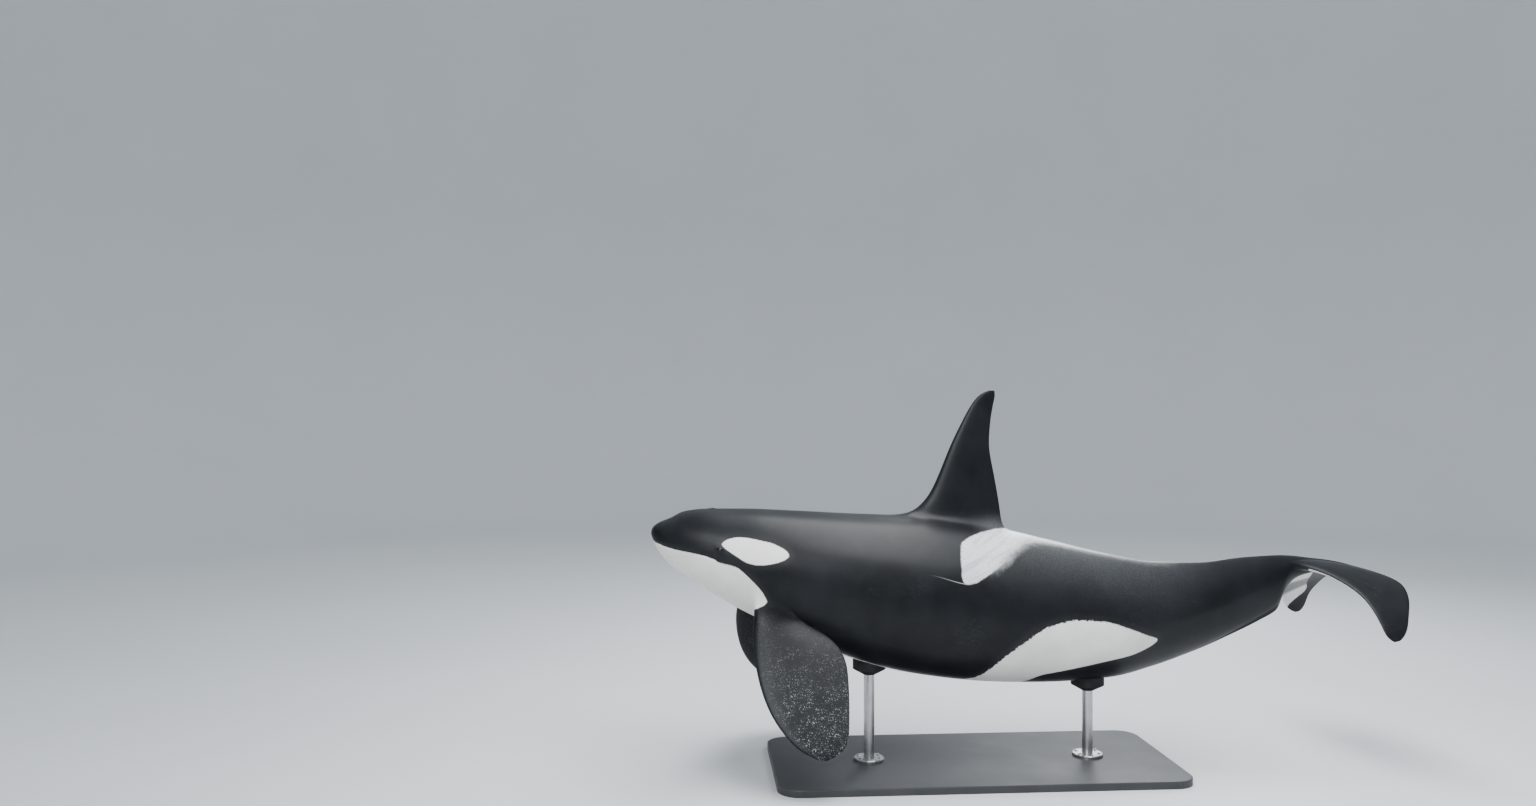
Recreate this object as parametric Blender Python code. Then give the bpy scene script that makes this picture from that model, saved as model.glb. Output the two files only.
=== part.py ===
# Orca, a young male swimming level with its tail arched, on a plain display stand.
# Metres, +Z up, head towards -Y, the animal's left side towards +X, floor at z = 0.

import math

import bmesh
import bpy
import numpy as np
from mathutils import Matrix, Vector

# Driving dimensions
GAP = 0.0003
RING_POINTS = 32
RING_SPACING = 0.15
FOIL_POINTS = 8
FIN_SECTIONS = 12
TIP_CROWDING = 1.25
BEYOND = 0.1
HEAD_END = 0.80
TRUNK_CUTS = (2.10, 3.30, 4.45)
TAIL_END = 5.86
TAIL_BEND = math.radians(5)
TAIL_BEND_PLACES = (4.60, 5.60)
THROAT_CUT = (0.74, 1.10)
EYE_RADIUS = 0.030
EYE_PLACE = (0.57, 1.905)
EYE_SUNK = 0.021
EYE_SEGMENTS = (16, 10)
CREASE_ANGLE = math.radians(40)
BASE_SIZE = (1.5, 3.4, 0.06)
BASE_MIDDLE = 2.72
BASE_CORNER = 0.18
BASE_EDGE = 0.008
ROD_RADIUS = 0.045
ROD_PLACES = {"front": 1.85, "rear": 3.75}
FLANGE_RADIUS = 0.13
FLANGE_HEIGHT = 0.025
METAL_EDGE = 0.006
CRADLE_RADIUS = 0.14
CRADLE_HEIGHT = 0.10
ROUND_SEGMENTS = 24

# Finishes: colour, roughness, metallic
BLACK_SKIN = ((0.012, 0.013, 0.015), 0.30, 0.0)
WHITE_SKIN = ((0.80, 0.80, 0.76), 0.35, 0.0)
EYE_GLOSS = ((0.02, 0.012, 0.008), 0.08, 0.0)
BOARD_PAINT = ((0.10, 0.10, 0.105), 0.45, 0.0)
BARE_STEEL = ((0.55, 0.55, 0.56), 0.35, 1.0)
PAD_RUBBER = ((0.03, 0.03, 0.032), 0.75, 0.0)

# Where the body's outline turns: distance behind the snout, height of the back,
# height of the belly and half of the width there.
BODY_STATIONS = {
    "snout": (0.000, 2.003, 2.003, 0.000),
    "lips": (0.020, 2.062, 1.943, 0.078),
    "chin": (0.070, 2.096, 1.848, 0.140),
    "melon_front": (0.160, 2.131, 1.742, 0.196),
    "melon": (0.280, 2.188, 1.655, 0.250),
    "blowhole": (0.480, 2.208, 1.520, 0.318),
    "throat": (0.800, 2.206, 1.335, 0.395),
    "shoulder": (1.200, 2.188, 1.150, 0.468),
    "chest": (1.700, 2.160, 0.938, 0.532),
    "fin_front": (2.200, 2.138, 0.810, 0.564),
    "fin_rear": (2.900, 2.042, 0.728, 0.562),
    "saddle": (3.400, 1.928, 0.714, 0.516),
    "loin": (3.900, 1.806, 0.735, 0.430),
    "vent": (4.350, 1.727, 0.835, 0.324),
    "stock_front": (4.750, 1.716, 0.976, 0.228),
    "stock": (5.100, 1.753, 1.138, 0.158),
    "keel": (5.300, 1.762, 1.236, 0.128),
    "keel_end": (5.460, 1.766, 1.325, 0.108),
    "keel_step": (5.530, 1.764, 1.475, 0.098),
    "fluke_root": (5.620, 1.758, 1.565, 0.086),
    "tail_end": (5.860, 1.714, 1.625, 0.038),
}

# How the section's shape changes: distance, height of the widest level as a share
# of the section, fullness of the upper half and of the lower half (2 is an ellipse).
SECTION_SHAPES = (
    (0.00, 0.46, 2.1, 2.0),
    (0.50, 0.46, 2.2, 1.9),
    (1.20, 0.47, 2.1, 2.1),
    (2.60, 0.47, 1.9, 2.2),
    (3.90, 0.47, 1.75, 1.9),
    (4.80, 0.50, 1.55, 1.5),
    (5.50, 0.55, 1.7, 1.5),
    (5.86, 0.50, 2.0, 2.0),
)

# The mouth line: distance behind the snout and height.
MOUTH_LINE = ((0.00, 1.968), (0.08, 1.931), (0.21, 1.896), (0.38, 1.868), (0.50, 1.838), (0.56, 1.806))

# Dorsal fin: share of its height, leading edge, trailing edge, thickness.
FIN_ROOT_HEIGHT = 2.10
FIN_TIP_HEIGHT = 3.208
FIN_STATIONS = (
    (-0.10, 2.000, 3.012, 0.120),
    (0.03, 2.180, 2.990, 0.124),
    (0.09, 2.290, 2.978, 0.118),
    (0.22, 2.386, 2.955, 0.104),
    (0.40, 2.476, 2.916, 0.086),
    (0.58, 2.558, 2.882, 0.068),
    (0.75, 2.652, 2.893, 0.052),
    (0.90, 2.745, 2.920, 0.036),
    (0.98, 2.827, 2.938, 0.022),
    (1.00, 2.885, 2.930, 0.010),
)

# Flippers: share of the span, leading edge, trailing edge, thickness. The span runs
# out and down from the shoulder.
FLIPPER_SPAN = 1.17
FLIPPER_ROOT = (0.345, 1.36)
FLIPPER_STATIONS = (
    (-0.12, 0.900, 1.140, 0.100),
    (0.00, 0.850, 1.190, 0.098),
    (0.12, 0.830, 1.410, 0.090),
    (0.22, 0.832, 1.540, 0.080),
    (0.38, 0.850, 1.592, 0.070),
    (0.56, 0.897, 1.590, 0.058),
    (0.72, 0.975, 1.578, 0.046),
    (0.86, 1.090, 1.560, 0.036),
    (0.95, 1.200, 1.500, 0.024),
    (1.00, 1.310, 1.400, 0.010),
)
FLIPPER_LEAN = {"left": math.radians(29), "right": math.radians(40)}
FLIPPER_FORWARD = {"left": 0.0, "right": 0.10}

# Flukes: share of the span from the middle line, leading edge, trailing edge,
# height of the leading edge, height of the trailing edge before the curl, thickness.
FLUKE_SPAN = 0.95
FLUKE_CURL = {"left": math.radians(68), "right": math.radians(70)}
FLUKE_STATIONS = (
    (0.00, 5.52, 6.18, 1.690, 1.660, 0.110),
    (0.12, 5.66, 6.22, 1.685, 1.655, 0.096),
    (0.25, 5.78, 6.30, 1.660, 1.650, 0.080),
    (0.42, 5.89, 6.372, 1.635, 1.651, 0.062),
    (0.60, 5.945, 6.330, 1.630, 1.652, 0.046),
    (0.78, 5.965, 6.240, 1.630, 1.653, 0.034),
    (0.92, 5.980, 6.170, 1.630, 1.654, 0.024),
    (1.00, 6.020, 6.115, 1.632, 1.648, 0.012),
)
# How far back a fluke swings, per share of the span and per its square.
FLUKE_SWEEP = {"left": (0.0, 0.0), "right": (-0.54, 0.61)}


def smooth_through(places, values):
    """A smooth function that passes through each value at its place and never overshoots it."""
    places = np.asarray(places, float)
    values = np.asarray(values, float)
    steps = np.diff(places)
    secants = np.diff(values) / steps
    slopes = np.zeros_like(values)
    for k, (before, after) in enumerate(zip(secants, secants[1:]), start=1):
        if before * after > 0:
            slopes[k] = 2 * before * after / (before + after)
    slopes[0] = 1.5 * secants[0] - 0.5 * slopes[1]
    slopes[-1] = 1.5 * secants[-1] - 0.5 * slopes[-2]

    def value_at(place):
        place = np.clip(place, places[0], places[-1])
        i = np.clip(np.searchsorted(places, place, side="right") - 1, 0, len(steps) - 1)
        t = (place - places[i]) / steps[i]
        start = (1 + 2 * t) * (1 - t) ** 2 * values[i] + t * (1 - t) ** 2 * steps[i] * slopes[i]
        end = t * t * (3 - 2 * t) * values[i + 1] + t * t * (t - 1) * steps[i] * slopes[i + 1]
        return start + end

    return value_at


def body_curves():
    """Back, belly and half width against the root of the distance, which rounds the snout."""
    rows = np.array(list(BODY_STATIONS.values()))
    roots = np.sqrt(rows[:, 0])
    return [smooth_through(roots, rows[:, column]) for column in (1, 2, 3)]


def shape_curves():
    rows = np.array(SECTION_SHAPES)
    return [smooth_through(rows[:, 0], rows[:, column]) for column in (1, 2, 3)]


BACK, BELLY, HALF_WIDTH = body_curves()
WIDEST, UPPER_FULLNESS, LOWER_FULLNESS = shape_curves()


def tail_shift(distance):
    """How far the bent tail leans to the right of the middle plane."""
    start, end = TAIL_BEND_PLACES
    radius = (end - start) / TAIL_BEND
    return -radius * (1 - math.cos(max(0.0, distance - start) / radius))


def body_ring(distance, grown=0.0):
    """The section's points, from the back round the left side to the belly and back up."""
    root = math.sqrt(distance)
    back = BACK(root) + grown
    belly = BELLY(root) - grown
    width = HALF_WIDTH(root) + grown
    middle = belly + WIDEST(distance) * (back - belly)
    shift = tail_shift(distance)
    points = []
    for i in range(RING_POINTS):
        angle = math.tau * i / RING_POINTS
        side, up = math.sin(angle), math.cos(angle)
        upper = up >= 0
        power = 2 / (UPPER_FULLNESS(distance) if upper else LOWER_FULLNESS(distance))
        reach = back - middle if upper else middle - belly
        x = width * math.copysign(abs(side) ** power, side)
        z = middle + reach * math.copysign(abs(up) ** power, up)
        points.append((x + shift, distance, z))
    return points


def mesh_object(name, rings, caps):
    """A closed skin over rings of equal length; a cap is a pole point, or None for a flat end."""
    shape = bmesh.new()
    rows = [[shape.verts.new(point) for point in ring] for ring in rings]
    count = len(rows[0])
    for first, second in zip(rows, rows[1:]):
        for i in range(count):
            j = (i + 1) % count
            if i < count / 2:
                halves = (first[i], first[j], second[j]), (first[i], second[j], second[i])
            else:
                halves = (first[i], first[j], second[i]), (first[j], second[j], second[i])
            for half in halves:
                shape.faces.new(half)
    for row, cap in zip((rows[0], rows[-1]), caps):
        if cap is None:
            shape.faces.new(row)
            continue
        pole = shape.verts.new(cap)
        for i in range(count):
            shape.faces.new((row[i], row[(i + 1) % count], pole))
    bmesh.ops.recalc_face_normals(shape, faces=shape.faces)
    return finished(name, shape)


def finished(name, shape):
    mesh = bpy.data.meshes.new(name)
    shape.to_mesh(mesh)
    shape.free()
    mesh.shade_smooth()
    mesh.set_sharp_from_angle(angle=CREASE_ANGLE)
    made = bpy.data.objects.new(name, mesh)
    bpy.context.scene.collection.objects.link(made)
    return made


def as_guide(made):
    made.hide_render = True
    made.display_type = "WIRE"
    return made


def ring_distances():
    """Places along the body, closer together where the stations are."""
    ends = [row[0] for row in BODY_STATIONS.values()]
    distances = []
    for start, end in zip(ends, ends[1:]):
        parts = max(2, math.ceil((end - start) / RING_SPACING))
        for part in range(1, parts + 1):
            root = math.sqrt(start) + (math.sqrt(end) - math.sqrt(start)) * part / parts
            distances.append(root * root)
    return distances


def body_solid(name, grown=0.0):
    """The whole body from snout to tail as one closed solid."""
    rings = [body_ring(distance, grown) for distance in ring_distances()]
    rings[-1] = [(x, y + grown, z) for x, y, z in rings[-1]]
    snout_height = BODY_STATIONS["snout"][1]
    return mesh_object(name, rings, ((0.0, -grown, snout_height), None))


def side_outline(name, outline):
    """A cutter that fills an outline drawn on the animal's side, right across its width."""
    shape = bmesh.new()
    reach = 1.0
    rows = [[shape.verts.new((x, y, z)) for y, z in outline] for x in (-reach, reach)]
    count = len(outline)
    for i in range(count):
        j = (i + 1) % count
        shape.faces.new((rows[0][i], rows[0][j], rows[1][j], rows[1][i]))
    shape.faces.new(rows[0])
    shape.faces.new(rows[1])
    bmesh.ops.recalc_face_normals(shape, faces=shape.faces)
    return as_guide(finished(name, shape))


def boolean(made, other, operation):
    cut = made.modifiers.new(other.name, "BOOLEAN")
    cut.solver = "EXACT"
    cut.operation = operation
    cut.object = other


def painted(made, look):
    colour, roughness, metallic = look
    finish = bpy.data.materials.new(made.name + "_finish")
    finish.use_nodes = True
    shader = finish.node_tree.nodes["Principled BSDF"]
    shader.inputs["Base Color"].default_value = (*colour, 1.0)
    shader.inputs["Roughness"].default_value = roughness
    shader.inputs["Metallic"].default_value = metallic
    made.data.materials.append(finish)
    return made


def flank_at(distance, height):
    """The body's half width at a height, on the section at this distance."""
    root = math.sqrt(distance)
    back, belly = BACK(root), BELLY(root)
    middle = belly + WIDEST(distance) * (back - belly)
    upper = height >= middle
    fullness = UPPER_FULLNESS(distance) if upper else LOWER_FULLNESS(distance)
    reach = back - middle if upper else middle - belly
    share = abs(height - middle) / reach
    return HALF_WIDTH(root) * (1 - share**fullness) ** (1 / fullness)


def foil_ring(leading, trailing, normal, thickness):
    """A fin's section: round in front, thickest at a third of the chord, thin behind."""
    leading, trailing, normal = Vector(leading), Vector(trailing), Vector(normal)
    shares = [0.5 - 0.5 * math.cos(math.pi * k / (FOIL_POINTS + 1)) for k in range(1, FOIL_POINTS + 1)]
    fullest = math.sqrt(1 / 3) * (2 / 3)
    outer, inner = [], []
    for share in shares:
        half = thickness / 2 * math.sqrt(share) * (1 - share) / fullest
        middle = leading.lerp(trailing, share)
        outer.append(middle + normal * half)
        inner.append(middle - normal * half)
    return [leading, *outer, trailing, *reversed(inner)]


def spread_to_tip(start, end, count):
    """Shares along a span, closer together towards the tip."""
    turns = np.linspace(1.0, 0.0, count)
    return end - (end - start) * turns**TIP_CROWDING


def station_curves(stations):
    rows = np.array(stations)
    return [smooth_through(rows[:, 0], rows[:, column]) for column in range(1, rows.shape[1])]


def dorsal_fin_solid():
    leading, trailing, thickness = station_curves(FIN_STATIONS)
    rings = []
    for share in spread_to_tip(FIN_STATIONS[0][0], 1.0, FIN_SECTIONS):
        height = FIN_ROOT_HEIGHT + share * (FIN_TIP_HEIGHT - FIN_ROOT_HEIGHT)
        rings.append(
            foil_ring((0, leading(share), height), (0, trailing(share), height), (1, 0, 0), thickness(share))
        )
    return mesh_object("dorsal_fin", rings, (None, None))


def flipper_solid(side):
    """A paddle that leans out and down from the shoulder."""
    leading, trailing, thickness = station_curves(FLIPPER_STATIONS)
    sign = 1 if side == "left" else -1
    lean = FLIPPER_LEAN[side]
    rings = []
    for share in spread_to_tip(FLIPPER_STATIONS[0][0], 1.0, FIN_SECTIONS):
        out = sign * (FLIPPER_ROOT[0] + share * FLIPPER_SPAN * math.sin(lean))
        height = FLIPPER_ROOT[1] - share * FLIPPER_SPAN * math.cos(lean)
        front = (out, leading(share) - FLIPPER_FORWARD[side], height)
        rear = (out, trailing(share) - FLIPPER_FORWARD[side], height)
        normal = (sign * math.cos(lean), 0, math.sin(lean))
        rings.append(foil_ring(front, rear, normal, thickness(share)))
    return mesh_object("flipper_" + side, rings, (None, None))


def fluke_solid(side):
    """Half of the tail fin, its tip curling down and swept back."""
    leading, trailing, front_height, rear_height, thickness = station_curves(FLUKE_STATIONS)
    sign = 1 if side == "left" else -1
    radius = FLUKE_SPAN / FLUKE_CURL[side]
    steady, growing = FLUKE_SWEEP[side]
    root = TAIL_BEND_PLACES[1]
    bent = Matrix.Translation((tail_shift(root), root, 0)) @ Matrix.Rotation(TAIL_BEND, 4, "Z")
    rings = []
    for share in spread_to_tip(0.0, 1.0, FIN_SECTIONS):
        turn = FLUKE_CURL[side] * share
        out = sign * (GAP / 2 + radius * math.sin(turn))
        drop = radius * (1 - math.cos(turn))
        back = steady * share + growing * share**2 - root
        front = bent @ Vector((out, leading(share) + back, front_height(share) - drop))
        rear = bent @ Vector((out, trailing(share) + back, rear_height(share) - drop))
        normal = bent.to_3x3() @ Vector((sign * math.sin(turn), 0, math.cos(turn)))
        rings.append(foil_ring(front, rear, normal, thickness(share)))
    return mesh_object("fluke_" + side, rings, (None, None))


def ball(name, place, radius):
    shape = bmesh.new()
    around, along = EYE_SEGMENTS
    bmesh.ops.create_uvsphere(shape, u_segments=around, v_segments=along, radius=radius)
    made = finished(name, shape)
    made.location = place
    return made


def eye_place(side):
    """The eyeball's centre, sunk below the skin along the skin's normal."""
    sign = 1 if side == "left" else -1
    distance, height = EYE_PLACE
    step = 0.01
    out = flank_at(distance, height)
    along = (flank_at(distance + step, height) - flank_at(distance - step, height)) / (2 * step)
    rising = (flank_at(distance, height + step) - flank_at(distance, height - step)) / (2 * step)
    normal = Vector((1, -along, -rising)).normalized()
    centre = Vector((out, distance, height)) - normal * EYE_SUNK
    return Vector((sign * centre.x, centre.y, centre.z))


def turned(name, profile, place):
    """A round piece from its profile of radius and height, solid to its axis."""
    rings = []
    for radius, height in profile:
        angles = [math.tau * i / ROUND_SEGMENTS for i in range(ROUND_SEGMENTS)]
        rings.append([(radius * math.cos(a), radius * math.sin(a), height) for a in angles])
    made = mesh_object(name, rings, (None, None))
    made.location = place
    return made


def stand_base():
    """A flat board with round corners and a softened edge."""
    width, length, thickness = BASE_SIZE
    shape = bmesh.new()
    bmesh.ops.create_cube(shape, size=1)
    bmesh.ops.scale(shape, verts=shape.verts, vec=BASE_SIZE)
    bmesh.ops.translate(shape, verts=shape.verts, vec=(0, 0, thickness / 2))
    uprights = [e for e in shape.edges if abs(e.verts[0].co.z - e.verts[1].co.z) > thickness / 2]
    bmesh.ops.bevel(shape, geom=uprights, offset=BASE_CORNER, segments=6, profile=0.5, affect="EDGES")
    rim = [e for e in shape.edges if min(v.co.z for v in e.verts) > thickness - GAP]
    bmesh.ops.bevel(shape, geom=rim, offset=BASE_EDGE, segments=2, profile=0.5, affect="EDGES")
    made = finished("stand_base", shape)
    made.location = (0, BASE_MIDDLE, 0)
    return painted(made, BOARD_PAINT)


def stand_post(end, swollen_body):
    """A foot, a rod and a cradle that fits the belly."""
    distance = ROD_PLACES[end]
    belly = float(BELLY(math.sqrt(distance)))
    base_top = BASE_SIZE[2] + GAP
    foot_top = base_top + FLANGE_HEIGHT
    cradle_foot = belly - CRADLE_HEIGHT
    foot = turned(
        "stand_foot_" + end,
        (
            (FLANGE_RADIUS, base_top),
            (FLANGE_RADIUS, foot_top - METAL_EDGE),
            (FLANGE_RADIUS - METAL_EDGE, foot_top),
        ),
        (0, distance, 0),
    )
    rod = turned(
        "stand_rod_" + end,
        ((ROD_RADIUS, foot_top + GAP), (ROD_RADIUS, cradle_foot)),
        (0, distance, 0),
    )
    cradle = turned(
        "stand_cradle_" + end,
        (
            (ROD_RADIUS + METAL_EDGE, cradle_foot + GAP),
            (CRADLE_RADIUS, cradle_foot + CRADLE_HEIGHT / 2),
            (CRADLE_RADIUS, belly + CRADLE_HEIGHT / 2),
        ),
        (0, distance, 0),
    )
    boolean(cradle, swollen_body, "DIFFERENCE")
    return [painted(foot, BARE_STEEL), painted(rod, BARE_STEEL), painted(cradle, PAD_RUBBER)]


def mouth_outline(shift):
    """The side outline of the lower jaw, from its tip to the mouth corner and the throat."""
    line = [(-BEYOND, MOUTH_LINE[0][1]), *MOUTH_LINE, THROAT_CUT, (-BEYOND, THROAT_CUT[1])]
    return [(y + shift, z + shift) for y, z in line]


def slab(name, start, end):
    """A cutter across the body between two distances."""
    low, high = 0.0, FIN_TIP_HEIGHT + BEYOND
    return side_outline(name, [(start, low), (end, low), (end, high), (start, high)])


def body_lengths():
    """Head, jaw and the lengths of trunk and tail, parted by thin cuts."""
    names = ("head", "trunk_front", "trunk_middle", "trunk_rear", "tail_stock")
    cuts = (-BEYOND, HEAD_END, *TRUNK_CUTS, TAIL_END + BEYOND)
    pieces = {}
    for name, start, end in zip(names, cuts, cuts[1:]):
        pieces[name] = body_solid(name)
        boolean(pieces[name], slab("cut_" + name, start + GAP / 2, end - GAP / 2), "INTERSECT")
    boolean(pieces["head"], side_outline("cut_above_jaw", mouth_outline(GAP)), "DIFFERENCE")
    pieces["lower_jaw"] = body_solid("lower_jaw")
    boolean(pieces["lower_jaw"], side_outline("cut_jaw", mouth_outline(0.0)), "INTERSECT")
    return pieces


def centre_on_floor(pieces):
    """Hangs every piece on one empty, moved so that the whole is centred over the floor's origin."""
    holder = bpy.data.objects.new("orca_on_stand", None)
    bpy.context.scene.collection.objects.link(holder)
    bpy.context.view_layer.update()
    graph = bpy.context.evaluated_depsgraph_get()
    corners = []
    for piece in pieces:
        evaluated = piece.evaluated_get(graph)
        corners += [evaluated.matrix_world @ vertex.co for vertex in evaluated.data.vertices]
    for axis in (0, 1):
        values = [corner[axis] for corner in corners]
        holder.location[axis] = -(min(values) + max(values)) / 2
    for made in list(bpy.context.scene.objects):
        if made is not holder:
            made.parent = holder


def main():
    """Builds every piece of the animal and its stand, and centres them over the floor's origin."""
    for old in list(bpy.data.objects):
        bpy.data.objects.remove(old)
    swollen_body = as_guide(body_solid("swollen_body", GAP))
    pieces = body_lengths()
    fins = [dorsal_fin_solid()]
    for side in ("left", "right"):
        fins += [flipper_solid(side), fluke_solid(side)]
        eye = ball("eye_" + side, eye_place(side), EYE_RADIUS)
        socket = as_guide(ball("socket_" + side, eye_place(side), EYE_RADIUS + GAP))
        boolean(pieces["head"], socket, "DIFFERENCE")
        pieces["eye_" + side] = painted(eye, EYE_GLOSS)
    for fin in fins:
        boolean(fin, swollen_body, "DIFFERENCE")
        pieces[fin.name] = painted(fin, BLACK_SKIN)
    for name in ("head", "trunk_front", "trunk_middle", "trunk_rear", "tail_stock"):
        painted(pieces[name], BLACK_SKIN)
    painted(pieces["lower_jaw"], WHITE_SKIN)
    stand = [stand_base()]
    for end in ROD_PLACES:
        stand += stand_post(end, swollen_body)
    centre_on_floor([*pieces.values(), *stand])


main()
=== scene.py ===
import math

import bmesh
import bpy
import numpy as np
from mathutils import Matrix, Vector


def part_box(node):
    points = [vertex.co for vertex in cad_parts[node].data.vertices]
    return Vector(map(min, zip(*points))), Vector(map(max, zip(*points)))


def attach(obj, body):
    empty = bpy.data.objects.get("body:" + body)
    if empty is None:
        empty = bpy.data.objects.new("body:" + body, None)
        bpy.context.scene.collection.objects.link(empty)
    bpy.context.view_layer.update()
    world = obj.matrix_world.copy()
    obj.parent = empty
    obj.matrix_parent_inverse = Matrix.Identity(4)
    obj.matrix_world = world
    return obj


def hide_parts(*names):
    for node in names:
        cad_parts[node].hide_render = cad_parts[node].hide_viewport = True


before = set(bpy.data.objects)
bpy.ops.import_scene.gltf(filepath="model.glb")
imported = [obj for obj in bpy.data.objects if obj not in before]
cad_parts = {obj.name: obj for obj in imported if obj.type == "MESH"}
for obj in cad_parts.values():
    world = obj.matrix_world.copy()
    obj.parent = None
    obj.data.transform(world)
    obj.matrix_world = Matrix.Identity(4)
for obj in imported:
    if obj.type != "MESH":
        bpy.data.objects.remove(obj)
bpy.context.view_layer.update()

# The animal is measured in metres behind its snout (y), from its middle plane (x, left is +)
# and above the floor (z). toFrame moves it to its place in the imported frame.
toFrame = Vector((
    (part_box("eye_left")[0].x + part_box("eye_right")[1].x) / 2,
    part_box("head")[0].y,
    0,
))


# Curves

def smoothThrough(places, values):
    # passes through every value and never overshoots
    places = np.asarray(places, float)
    values = np.asarray(values, float)
    steps = np.diff(places)
    secants = np.diff(values) / steps
    slopes = np.zeros_like(values)
    for k, (before, after) in enumerate(zip(secants, secants[1:]), start=1):
        if before * after > 0:
            slopes[k] = 2 * before * after / (before + after)
    slopes[0] = 1.5 * secants[0] - 0.5 * slopes[1]
    slopes[-1] = 1.5 * secants[-1] - 0.5 * slopes[-2]

    def valueAt(place):
        place = np.clip(place, places[0], places[-1])
        i = np.clip(np.searchsorted(places, place, side="right") - 1, 0, len(steps) - 1)
        t = (place - places[i]) / steps[i]
        start = (1 + 2 * t) * (1 - t) ** 2 * values[i] + t * (1 - t) ** 2 * steps[i] * slopes[i]
        end = t * t * (3 - 2 * t) * values[i + 1] + t * t * (t - 1) * steps[i] * slopes[i + 1]
        return start + end

    return valueAt


def curvesOf(rows):
    table = np.array(rows, float)
    return [smoothThrough(table[:, 0], table[:, column]) for column in range(1, table.shape[1])]


def smoothStep(low, high, value):
    t = np.clip((value - low) / (high - low), 0, 1)
    return t * t * (3 - 2 * t)


def closedCurve(points, perSpan=8):
    # a smooth closed line through a few points
    corners = np.array(points, float)
    line = []
    for i in range(len(corners)):
        a, b, c, d = (corners[(i + k) % len(corners)] for k in (-1, 0, 1, 2))
        for t in np.arange(perSpan) / perSpan:
            bent = (2 * a - 5 * b + 4 * c - d) * t**2 + (3 * b - a - 3 * c + d) * t**3
            line.append(0.5 * (2 * b + (c - a) * t + bent))
    return np.array(line)


def joined(first, second, width):
    # the larger of two distances, with the corner between them filled in
    share = np.clip(0.5 + 0.5 * (first - second) / width, 0, 1)
    return second + (first - second) * share + width * share * (1 - share)


def insideDistance(places, outline):
    # metres inside the outline, negative outside
    nearest = np.full(len(places), np.inf)
    crossings = np.zeros(len(places), int)
    for a, b in zip(outline, np.roll(outline, -1, axis=0)):
        along = np.clip(((places - a) @ (b - a)) / max((b - a) @ (b - a), 1e-12), 0, 1)
        away = places - a - along[:, None] * (b - a)
        nearest = np.minimum(nearest, np.linalg.norm(away, axis=1))
        if a[1] != b[1]:
            spans = (a[1] > places[:, 1]) != (b[1] > places[:, 1])
            meets = a[0] + (places[:, 1] - a[1]) / (b[1] - a[1]) * (b[0] - a[0])
            crossings += spans & (places[:, 0] < meets)
    return np.where(crossings % 2 == 1, nearest, -nearest)


# The body's shape

body = {
    "around": 40,            # points in a ring
    "smoothing": 2,          # subdivision levels
    "swell": 0.002,          # makes up for what the smoothing pulls in
    # behind the snout, back, belly, half width
    "stations": (
        (0.000, 2.003, 2.003, 0.000),
        (0.020, 2.062, 1.943, 0.078),
        (0.070, 2.096, 1.848, 0.140),
        (0.160, 2.131, 1.742, 0.196),
        (0.280, 2.188, 1.655, 0.250),
        (0.480, 2.208, 1.520, 0.318),
        (0.800, 2.206, 1.335, 0.395),
        (1.200, 2.188, 1.150, 0.468),
        (1.700, 2.160, 0.938, 0.532),
        (2.200, 2.138, 0.810, 0.564),
        (2.900, 2.042, 0.728, 0.562),
        (3.400, 1.928, 0.714, 0.516),
        (3.900, 1.806, 0.735, 0.430),
        (4.350, 1.727, 0.835, 0.324),
        (4.750, 1.716, 0.976, 0.228),
        (5.100, 1.753, 1.138, 0.158),
        (5.300, 1.762, 1.236, 0.128),
        (5.460, 1.766, 1.325, 0.108),
        (5.530, 1.764, 1.475, 0.096),
        (5.620, 1.758, 1.565, 0.080),
        (5.760, 1.738, 1.608, 0.060),
        (5.900, 1.722, 1.627, 0.048),
        (6.040, 1.697, 1.640, 0.040),
        (6.160, 1.667, 1.655, 0.024),
    ),
    # behind the snout, height of the widest level, fullness above it, fullness below it
    "shapes": (
        (0.00, 0.46, 2.1, 2.0),
        (0.50, 0.46, 2.2, 1.9),
        (1.20, 0.47, 2.1, 2.1),
        (2.60, 0.47, 1.9, 2.2),
        (3.90, 0.47, 1.75, 1.9),
        (4.80, 0.50, 1.55, 1.5),
        (5.50, 0.55, 1.7, 1.5),
        (5.86, 0.50, 2.0, 2.0),
    ),
    "bend": (4.60, 5.60, math.radians(5)),   # the tail turns to the right between these
    "headRings": (14, 0.465),    # so many up to here, closer together towards the snout
    "eyeRings": (0.52, 0.57, 0.62, 0.68, 0.74, 0.80),
    "spacing": (0.080, 0.098),   # between rings behind the flippers and behind the dorsal fin
    "keelRings": (5.30, 5.38, 5.435, 5.465, 5.495),   # close together where the keel ends
    # how far the smoothing pulls the thin keel up, made good beforehand
    "keelDrop": ((4.50, 0.0), (4.90, 0.020), (5.20, 0.042), (5.465, 0.050), (5.53, 0.015), (5.60, 0.0)),
    "tailBulge": 0.006,
    "frontSearch": (0.30, 24),   # how far back the snout's front can lie, and halvings to find it
    "uvMargin": 0.003,
    "seams": (0.86, 2.06, 3.00, 4.40, 5.46),
}
mouth = {
    "line": ((0.00, 1.968), (0.08, 1.931), (0.21, 1.896), (0.38, 1.868), (0.50, 1.838), (0.56, 1.806)),
    "column": 11,            # the lengthwise edge that follows the mouth
    "lip": 0.011,            # from the mouth line to the edges above and below it
    "lipTurn": 0.2,          # radians round the ring that those edges stay within
    "groove": 0.010,
    "upperLip": 0.004,
    "lowerLip": 0.0015,
    "crease": 0.75,
    "frontReach": 0.8,       # how far to the lip the groove reaches between the innermost points
    "end": (0.52, 0.60),     # the groove fades out here
    "ease": (0.60, 0.86),    # the edges spread out evenly again here
    "front": (0.3, 0.45, 0.62, 0.80),   # small rings round the middle of the lips
    "frontRing": 0.07,
}
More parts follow.
